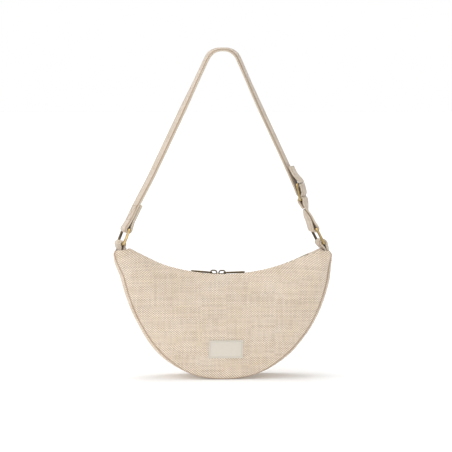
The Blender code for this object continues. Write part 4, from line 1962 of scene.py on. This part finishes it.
SLIDER_HALF = (
    (0.0003, 0.0), (0.0, 0.0022), (0.0, 0.0052), (0.0006, 0.0067),
    (0.0018, 0.0075), (0.0034, 0.0078), (0.0062, 0.0072), (0.0094, 0.0063),
    (0.0116, 0.0057), (0.0127, 0.0046), (0.0130, 0.0020),
)
FLANGE_LINE = ((0.0016, 0.0074), (0.0034, 0.0077), (0.0116, 0.0056))
POST_HALF = ((0.0008, 0.0), (0.0010, 0.0005), (0.0020, 0.0007), (0.0034, 0.0004))
PULL_HALF = (
    (0.0, 0.0018), (0.0006, 0.0028), (0.0018, 0.0034), (0.0036, 0.0035),
    (0.0062, 0.0030), (0.0100, 0.0026), (0.0150, 0.0025), (0.0220, 0.0028),
)
PULL_END_HALF = ((0.0050, 0.0031), (0.0022, 0.0029), (0.0008, 0.0021), (0.0, 0.0008))


@dataclass
class CurvedZip:
    """The zip along the mouth: two tapes, two rows of teeth, two sliders and their pulls."""

    shell: HalfMoon
    chain_half: float = 0.1360
    end_reach: float = 0.1560
    tape_wall: float = 0.0008
    tape_edge: float = 0.0130
    bead_inner: float = 0.0014
    bead_outer: float = 0.0032
    bead_height: float = 0.0011
    tooth_reach: float = 0.0024
    tooth_width: float = 0.0013
    tooth_pitch: float = 0.0034
    tooth_edge: float = 0.00026
    tooth_taper: float = 0.82
    cord_radius: float = 0.00085
    parting: float = 0.0022
    parting_length: float = 0.0130
    meet: float = -0.0080
    nose_gap: float = 0.0003
    length: float = 0.0130
    inner_half: float = 0.0016
    plate: float = 0.0011
    plate_edge: float = 0.00034
    flange_wall: float = 0.0009
    flange_edge: float = 0.00012
    tape_slot: float = 0.0010
    fuse: float = 0.0002
    post_edge: float = 0.00008
    arch_radius: float = 0.00140
    arch_flatness: float = 0.75
    pull_rise: float = 0.0012
    arch_bend: float = 0.0036
    arch_straight: float = 0.0028
    pull_length: float = 0.0340
    pull_thick: float = 0.0025
    pull_eye: float = 0.0015
    pull_eye_wall: float = 0.0013
    pull_tilt: float = radians(2)
    pull_edge: float = 0.00026
    pull_face: float = 0.86
    border_face: float = 0.84
    border_inset: float = 0.0006
    border_radius: float = 0.00026
    border_step: float = 0.0015
    end_wall: float = 0.0012
    end_puff: float = 0.0009

    def __post_init__(self) -> None:
        """Works out the chain's angle and the pull's place over the slider."""
        self.half_angle = asin(self.chain_half / self.shell.arc_radius)
        self.plate_top = self.inner_half + self.plate
        self.pivot_rise = self.plate_top + self.pull_rise

    def opened(self, angle: float) -> float:
        """How far each row stands off its closed place, round the sliders' posts.

        Args:
            angle: The place on the arc.

        Returns:
            The distance.
        """
        run = (angle * self.shell.arc_radius - self.meet) / self.parting_length
        return self.parting * cos(run * pi / 2) ** 2 if abs(run) < 1 else 0

    def tape(self, side: Side) -> Mesh:
        """One tape, rippling a little between the chain and the hem.

        Args:
            side: Its side of the chain.

        Returns:
            The tape's sheet.
        """

        def surface(a: float, b: float) -> Vector:
            """A point of the tape.

            Args:
                a: Its share along the arc.
                b: Its share across, from -1 at the teeth to 1 at the hem.

            Returns:
                The point.
            """
            angle = a * self.half_angle
            inner = self.bead_inner + 0.0004 + self.opened(angle)
            y = blend(inner, self.tape_edge, (1 + b) / 2)
            ripple = wander(Vector((angle * 30, y * 60, side.value)), 1.0) * 0.00022 * (1 + b) / 2
            return self.shell.on_arc(angle, side.value * y, ripple)

        def weave(a: float, b: float) -> Vector:
            """The place of that point in the weave."""
            return Vector((a * self.half_angle * self.shell.arc_radius, b * self.tape_edge / 2, 0))

        shape = cloth(240, 8, surface, weave)
        if side is Side.FRONT:
            bmesh.ops.reverse_faces(shape, faces=shape.faces)
        return shape

    def teeth(self, side: Side) -> Mesh:
        """One row of moulded teeth on its cord.

        Args:
            side: The row's side of the chain.

        Returns:
            The row.
        """
        count = int(2 * self.chain_half / self.tooth_pitch)
        pitch = 2 * self.half_angle / (count + 1)
        start = 0.0 if side is Side.FRONT else 0.5
        cord_line = []
        for i in range(count * 2 + 1):
            angle = blend(-self.half_angle, self.half_angle, i / (count * 2))
            middle = (self.bead_inner + self.bead_outer) / 2 + self.opened(angle)
            origin = self.shell.on_arc(angle, side.value * middle)
            rise = flat(-sin(angle), cos(angle))
            cord_line.append(Station(origin, ACROSS, rise, angle * self.shell.arc_radius))
        row = sweep(cord_line, disc(self.cord_radius, 8))
        for i in range(count):
            angle = -self.half_angle + pitch * (i + start + self.tooth_width / self.tooth_pitch / 2)
            root = self.bead_outer + self.opened(angle)
            tip = self.bead_inner - self.tooth_reach + self.opened(angle)
            turn = Matrix.Diagonal((1, side.value, 1, 1))
            made = bmesh.ops.create_cube(row, size=1, matrix=Matrix.Identity(4))
            for corner in made["verts"]:
                at_tip = corner.co.y < 0
                half = self.tooth_width / 2 * (1.0 if at_tip else self.tooth_taper)
                height = self.bead_height * (0.9 if at_tip else 1.0)
                x, z = copysign(half, corner.co.x), copysign(height, corner.co.z)
                corner.co = Vector((x, tip if at_tip else root, z))
            edges = list({edge for corner in made["verts"] for edge in corner.link_edges})
            rounded = bevelled(row, edges, self.tooth_edge, 1)
            place = Matrix.Translation(self.shell.on_arc(angle, 0)) @ Matrix.Rotation(-angle, 4, "Y")
            tooth = {v for face in rounded["faces"] for v in face.verts}
            bmesh.ops.transform(row, matrix=place @ turn, verts=list(tooth))
        bmesh.ops.recalc_face_normals(row, faces=row.faces)
        return row

    def to_slider(self, hand: Hand) -> Matrix:
        """From a slider's own frame, X outward from its nose and Z up, to its place on the arc.

        Args:
            hand: Which slider.

        Returns:
            The matrix.
        """
        along = self.meet + hand.value * (self.nose_gap + self.length / 2)
        swing = Matrix.Rotation(-along / self.shell.arc_radius, 4, "Y")
        down = Matrix.Translation((0, 0, -self.shell.arc_radius))
        turn = Matrix.Diagonal((hand.value, 1, 1, 1))
        back = Matrix.Translation((-self.length / 2, 0, 0))
        return Matrix.Translation((0, 0, self.shell.arc_z)) @ swing @ down @ turn @ back

    def slider(self, hand: Hand) -> Mesh:
        """A slider: two plates with turned flanges, the post between them and the bridge over them.

        Args:
            hand: Which slider.

        Returns:
            The slider, at its place on the arc.
        """
        outline = mirrored(SLIDER_HALF)
        parts = [
            slab(outline, self.inner_half, self.plate_top, self.plate_edge),
            slab(outline, -self.plate_top, -self.inner_half, self.plate_edge),
        ]
        tall = self.inner_half - self.tape_slot + self.fuse
        for side in (-1, 1):
            flange = [(x, side * y) for x, y in FLANGE_LINE]
            back = [(x, y - side * self.flange_wall) for x, y in reversed(flange)]
            for low in (self.tape_slot, -self.inner_half - self.fuse):
                parts.append(slab(flange + back, low, low + tall, self.flange_edge))
        reach = self.inner_half + self.fuse / 2
        parts.append(slab(mirrored(POST_HALF), -reach, reach, self.post_edge))
        middle = self.length / 2
        outer, inner = middle + self.arch_straight / 2, middle - self.arch_straight / 2
        foot = self.plate_top - self.plate / 2
        line = [flat(inner - self.arch_bend, foot)]
        line += arc_about(flat(inner, self.pivot_rise), self.arch_bend, pi, pi / 2, 10)
        line += arc_about(flat(outer, self.pivot_rise), self.arch_bend, pi / 2, 0, 10)
        line.append(flat(outer + self.arch_bend, foot))
        stations = []
        for i, (point, along) in enumerate(zip(line, directions(line))):
            full = 1.0 if 0 < i < len(line) - 1 else 1.25
            stations.append(Station(point, ACROSS, flat(-along.z, along.x), i * 0.001, full))
        parts.append(sweep(stations, disc(self.arch_radius, 12, self.arch_flatness)))
        whole = rub(merge(parts), 0.10, 0.42)
        bmesh.ops.transform(whole, matrix=self.to_slider(hand), verts=whole.verts)
        if hand is Hand.LEFT:
            bmesh.ops.reverse_faces(whole, faces=whole.faces)
        return whole

    def pull(self, hand: Hand) -> Mesh:
        """A pull tab: a waisted plate with a square eye and a raised border on both faces.

        Args:
            hand: Which slider's pull.

        Returns:
            The pull, lying at its place over the slider.
        """
        start = self.arch_bend - self.pull_eye - self.pull_eye_wall
        end = start + self.pull_length
        half = [(start + x, y) for x, y in PULL_HALF]
        half += [(end - x, y) for x, y in PULL_END_HALF]
        eye = self.pull_eye
        hole = mirrored([(self.arch_bend - eye, eye), (self.arch_bend + eye, eye)])
        thick = self.pull_thick / 2
        face_rise = thick * self.pull_face
        parts = [slab(mirrored(half), -face_rise, face_rise, self.pull_edge, hole)]
        border = [(x, y - self.border_inset) for x, y in half[4:-2]]
        trace = mirrored([(border[0][0] + 0.0002, 0.0012), *border, (end - 0.0014, 0.0010)])
        for face in (-1, 1):
            corners = [Vector((x, y, face * thick * self.border_face)) for x, y in trace]
            line = finely([*corners, corners[0]], self.border_step)[:-1]
            stations = []
            for i, (point, along) in enumerate(zip(line, directions(line, closed=True))):
                out = Vector((along.y, -along.x, 0))
                stations.append(Station(point, out, UP, i * self.border_step))
            parts.append(sweep(stations, disc(self.border_radius, 6), closed=True))
        whole = rub(merge(parts), 0.08, 0.48)
        pivot = Vector((self.length / 2 + self.arch_straight / 2, 0, self.pivot_rise))
        tilt = Matrix.Translation(pivot) @ Matrix.Rotation(-self.pull_tilt, 4, "Y")
        bmesh.ops.transform(whole, matrix=self.to_slider(hand) @ tilt, verts=whole.verts)
        if hand is Hand.LEFT:
            bmesh.ops.reverse_faces(whole, faces=whole.faces)
        return whole

    def end_cloth(self, hand: Hand) -> Mesh:
        """The canvas that closes the mouth between the chain and the ring's tab.

        Args:
            hand: The bag's end.

        Returns:
            Its sheet.
        """
        first = self.half_angle - 0.0006 / self.shell.arc_radius
        last = asin(self.end_reach / self.shell.arc_radius)

        def surface(a: float, b: float) -> Vector:
            """The canvas's point at its shares along and across."""
            angle = hand.value * blend(first, last, (1 + hand.value * a) / 2)
            rise = self.end_puff * (1 - b * b) + 0.0003 * sin(a * 5)
            return self.shell.on_arc(angle, b * self.tape_edge, rise)

        def weave(a: float, b: float) -> Vector:
            """The place of that point in the weave, and its painted shade where it meets the chain."""
            crease = 0.5 * eased(-hand.value * a, 0.86, 1.0)
            return Vector((a * 0.01 + 0.5, b * self.tape_edge, crease))

        return cloth(12, 14, surface, weave)

    def build(self, finishes: Wardrobe) -> None:
        """Makes the zip.

        Args:
            finishes: The bag's materials.
        """
        settled, brass = self.shell.settled, finishes.dark_brass
        for side in Side:
            name = f"{side.word}_zip_tape"
            sheet = settled(self.tape(side))
            tape = publish(f"{side.word}_tape_woven", sheet, finishes.tape, "bag", "zip_tape", name)
            thicken(tape, self.tape_wall, 0.0)
            name = f"{side.word}_zip_teeth"
            row = settled(self.teeth(side))
            publish(f"{side.word}_teeth_moulded", row, finishes.teeth, "bag", "zip_teeth", name)
        for hand in Hand:
            name = f"{hand.word}_slider"
            publish(f"{name}_brass", self.slider(hand), brass, name, "aged_brass", name)
            name = f"{hand.word}_pull"
            publish(f"{name}_brass", self.pull(hand), brass, name, "aged_brass", name)
            name = f"{hand.word}_zip_end"
            sheet = settled(self.end_cloth(hand))
            end = publish(f"{hand.word}_end_canvas", sheet, finishes.canvas, "bag", "linen", name)
            thicken(end, self.end_wall, 0.0)


@dataclass
class Label:
    """The bare woven label low on the front, sewn down all round."""

    shell: HalfMoon
    width: float = 0.053
    height: float = 0.028
    drop: float = 0.4682
    thick: float = 0.0006
    seam: float = 0.0022
    stand_off: float = 0.0010
    relief: float = 0.00022
    hem: float = 0.0012

    def point(self, x: float, z: float, out: float) -> Vector:
        """A point over the label's place on the front, by its distance from the label's middle."""
        u, v = self.shell.on_panel(x, z - self.drop)
        return self.shell.settle(self.shell.panel_point(u, v, Side.FRONT, out))

    def build(self, finishes: Wardrobe) -> None:
        """Makes the label and its stitches.

        Args:
            finishes: The bag's materials.
        """

        def place(a: float, b: float) -> tuple[float, float, float]:
            """The place of a point on the label, and its distance from the nearest edge."""
            x, z = a * self.width / 2, b * self.height / 2
            return x, z, min(self.width / 2 - abs(x), self.height / 2 - abs(z))

        def surface(a: float, b: float) -> Vector:
            """That point in the bag.

            Args:
                a: Its share across the label.
                b: Its share up the label.

            Returns:
                The point, with the hem's fold and the dip of the seam.
            """
            x, z, from_edge = place(a, b)
            fold = self.relief * exp(-((from_edge / self.hem) ** 2))
            dip = self.relief * exp(-(((from_edge - self.seam) / 0.0005) ** 2))
            lift = wander(Vector((x, z, 2)), 0.012) * 0.00014
            return self.point(x, z, self.stand_off + fold - dip + lift)

        def weave(a: float, b: float) -> Vector:
            """That point in the weave, and the painted shade along its seam."""
            x, z, from_edge = place(a, b)
            return Vector((x, z, 0.75 * exp(-(((from_edge - self.seam) / 0.0006) ** 2))))

        sheet = cloth(106, 56, surface, weave)
        piece = publish("woven_label_satin", sheet, finishes.label, "bag", "label", "woven_label")
        thicken(piece, self.thick)
        half_x, half_z = self.width / 2 - self.seam, self.height / 2 - self.seam
        corners = [(-half_x, -half_z), (half_x, -half_z), (half_x, half_z), (-half_x, half_z)]
        threads = bmesh.new()
        sewing = Stitching(0.0021, 0.0015, 0.00022)
        count = 24
        for (x, z), (next_x, next_z) in zip(corners, [*corners[1:], corners[0]]):
            shares = [i / count for i in range(count + 1)]
            places = [(blend(x, next_x, share), blend(z, next_z, share)) for share in shares]
            line = [self.point(a, b, self.stand_off) for a, b in places]
            sewing.row(threads, line, [-ACROSS] * len(line))
        publish("label_stitches", threads, finishes.label_thread, "bag", "label")


@dataclass
class Lining:
    """The loose lining and the flat pocket on its back."""

    shell: HalfMoon
    depth: float = 0.0024
    wall: float = 0.0008
    end_share: float = 0.90
    top_share: float = 0.05
    low_share: float = 0.90
    gap: float = 0.0006
    ruffle: float = 0.0005
    pocket_half: float = 0.34
    pocket_top: float = 0.28
    pocket_low: float = 0.74
    pocket_gap: float = 0.0032

    def base_point(self, u: float, w: float) -> Vector:
        """A point of the lining over the gusset.

        Args:
            u: Its share along, from -1 at the left horn to 1 at the right.
            w: Its share across, from -1 at the front to 1 at the back.

        Returns:
            The point.
        """
        shell = self.shell
        low, outer = shell.rim(u, 0.005), shell.rim(u, 0)
        along = shell.rim(min(u + 0.004, 1), 0) - shell.rim(max(u - 0.004, -1), 0)
        inward = flat(-along.z, along.x).normalized()
        point = blend(low, outer, cos(w * pi / 2)) + inward * self.depth
        point.z = max(point.z, -shell.bottom_drop + self.depth)
        point.y = w * (shell.gusset_half(u) - 0.0025)
        return point

    def surface(self, a: float, b: float) -> Vector:
        """A point of the lining, whose section runs down the front, across the base and up the back.

        Args:
            a: Its share along, from -1 at the left to 1 at the right.
            b: Its share along that section, from -1 to 1.

        Returns:
            The point.
        """
        u = a * self.end_share
        base_share = 1 / 3
        ruffle = wander(Vector((a * 3, b * 3, 7)), 0.5) * self.ruffle
        if abs(b) > base_share:
            share = (1 - abs(b)) / (1 - base_share)
            v = blend(self.top_share, self.low_share, share)
            side = Side.BACK if b > 0 else Side.FRONT
            return self.shell.panel_point(u, v, side, -self.depth - self.gap - abs(ruffle))
        return self.base_point(u, b / base_share * self.low_share)

    def build(self, finishes: Wardrobe) -> None:
        """Makes the lining and its pocket.

        Args:
            finishes: The bag's materials.
        """

        def pocket(a: float, b: float) -> Vector:
            """A point of the pocket.

            Args:
                a: Its share along.
                b: Its share up.

            Returns:
                The point.
            """
            v = blend(self.pocket_low, self.pocket_top, (b + 1) / 2)
            edge = max(abs(a), abs(b)) ** 8
            inward = self.depth + self.pocket_gap - edge * self.gap
            return self.shell.panel_point(a * self.pocket_half, v, Side.BACK, -inward)

        def weave(a: float, b: float) -> Vector:
            """The place of that point in the weave, and the painted shade round its edge."""
            return Vector((a * 0.06, b * 0.04, 0.4 * max(abs(a), abs(b)) ** 20))

        loose = cloth(96, 60, self.surface, lambda a, b: Vector((a * 0.2, b * 0.2, 0)))
        sewn = cloth(48, 30, pocket, weave)
        for name, shape, piece in (("lining", loose, "lining"), ("pocket", sewn, "inner_pocket")):
            bmesh.ops.reverse_faces(shape, faces=shape.faces)
            sheet = self.shell.settled(shape)
            made = publish(f"{name}_canvas", sheet, finishes.lining, "bag", "lining", piece)
            thicken(made, self.wall)


@dataclass
class Studio:
    """The pale floor, the soft light and the camera."""

    shell: HalfMoon
    azimuth: float = radians(-3.5)
    elevation: float = radians(4)
    distance: float = 3.0
    focal: float = 151.0
    sensor: float = 36.0
    aim: tuple[float, float, float] = (0.0050, 0.0, -0.2764)
    floor_gap: float = 0.0006
    floor_half: float = 40.0
    floor_shade: float = 0.93
    floor_bounce: float = 0.26
    floor_glow: float = 0.08
    sky_bounce: float = 0.39
    sky_glow: float = 1.00
    lamps: tuple[tuple[str, tuple[float, float, float], float, float], ...] = (
        ("key_lamp", (-0.68, -0.66, 0.50), 125, 2.20),
        ("top_lamp", (0.0, 0.17, 1.0), 38, 1.25),
    )

    def lamp(self, name: str, towards: Vector, spread: float, power: float) -> None:
        """A far soft lamp that lights the bag and the floor evenly.

        Args:
            name: Its name.
            towards: The direction that its light comes from.
            spread: How wide it looks, in degrees, so how soft its shadow is.
            power: Its strength.
        """
        data = bpy.data.lights.new(name, "SUN")
        data.angle = radians(spread)
        data.energy = power
        lamp = bpy.data.objects.new(name, data)
        lamp.location = towards * 3
        lamp.rotation_euler = (-towards).to_track_quat("-Z", "Y").to_euler()
        bpy.context.scene.collection.objects.link(lamp)

    def backdrop(self, tree: bpy.types.NodeTree, lit: float, seen: float) -> Term:
        """One strength for the light that falls on the bag, and another for what is seen.

        Args:
            tree: The nodes that it goes in.
            lit: The strength for light on the bag.
            seen: The strength for what is seen straight or in a reflection.

        Returns:
            The strength.
        """
        path = tree.nodes.new("ShaderNodeLightPath")
        kinds = ("Camera", "Glossy", "Transmission")
        first, second, third = (Term(tree, path.outputs[f"Is {kind} Ray"]) for kind in kinds)
        return first.highest(second).highest(third) * (seen - lit) + lit

    def lay_floor(self) -> None:
        """Lays the floor under the bag. It glows a little, so that it meets the pale world."""
        shape = bmesh.new()
        level = Matrix.Translation((0, 0, -self.shell.bottom_drop - self.floor_gap))
        bmesh.ops.create_grid(shape, x_segments=1, y_segments=1, size=self.floor_half, matrix=level)
        data = bpy.data.meshes.new("studio_floor")
        shape.to_mesh(data)
        shape.free()
        floor = bpy.data.objects.new("studio_floor", data)
        bpy.context.scene.collection.objects.link(floor)
        graph = Graph("studio_floor")
        shade = (self.floor_shade,) * 3
        graph.finish(Base_Color=(*shade, 1), Roughness=0.95, Specular_IOR_Level=0.1)
        glow = self.backdrop(graph.tree, self.floor_bounce, self.floor_glow)
        lit = graph.node("ShaderNodeEmission", sockets={"Strength": glow})
        own = Term(graph.tree, graph.shader.outputs[0])
        both = graph.node("ShaderNodeAddShader", sockets={0: own, 1: lit})
        graph.tree.links.new(both.socket, graph.tree.nodes["Material Output"].inputs["Surface"])
        data.materials.append(graph.material)

    def open_sky(self) -> None:
        """Puts a white world round the bag."""
        world = bpy.data.worlds.new("studio_world")
        world.use_nodes = True
        bpy.context.scene.world = world
        sky = world.node_tree
        background = sky.nodes["Background"]
        background.inputs["Color"].default_value = (1, 1, 1, 1)
        strength = self.backdrop(sky, self.sky_bounce, self.sky_glow)
        sky.links.new(strength.socket, background.inputs["Strength"])

    def place_camera(self) -> None:
        """Sets the camera where the photograph was taken from."""
        data = bpy.data.cameras.new("camera")
        data.lens = self.focal
        data.sensor_width = self.sensor
        camera = bpy.data.objects.new("camera", data)
        away = Vector((sin(self.azimuth), -cos(self.azimuth), 0)) * cos(self.elevation)
        place = (away + UP * sin(self.elevation)) * self.distance
        camera.location = Vector(self.aim) + place
        camera.rotation_euler = (-place).to_track_quat("-Z", "Y").to_euler()
        bpy.context.scene.collection.objects.link(camera)
        bpy.context.scene.camera = camera
        bpy.context.scene.view_settings.view_transform = "Standard"

    def build(self) -> None:
        """Sets the floor, the world, the lamps and the camera."""
        self.lay_floor()
        self.open_sky()
        for name, towards, spread, power in self.lamps:
            self.lamp(name, Vector(towards), spread, power)
        self.place_camera()


def main() -> None:
    """Dresses the frame, from the studio to the smallest fitting."""
    logging.basicConfig(level=logging.INFO, format="%(message)s")
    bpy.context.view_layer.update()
    shell = HalfMoon()
    webbing = Webbing()
    finishes = Wardrobe()
    Studio(shell).build()
    shell.build(finishes)
    Lining(shell).build(finishes)
    Label(shell).build(finishes)
    CurvedZip(shell).build(finishes)
    webbing.build(finishes)
    Fittings(webbing).build(finishes)


if __name__ == "__main__":
    main()
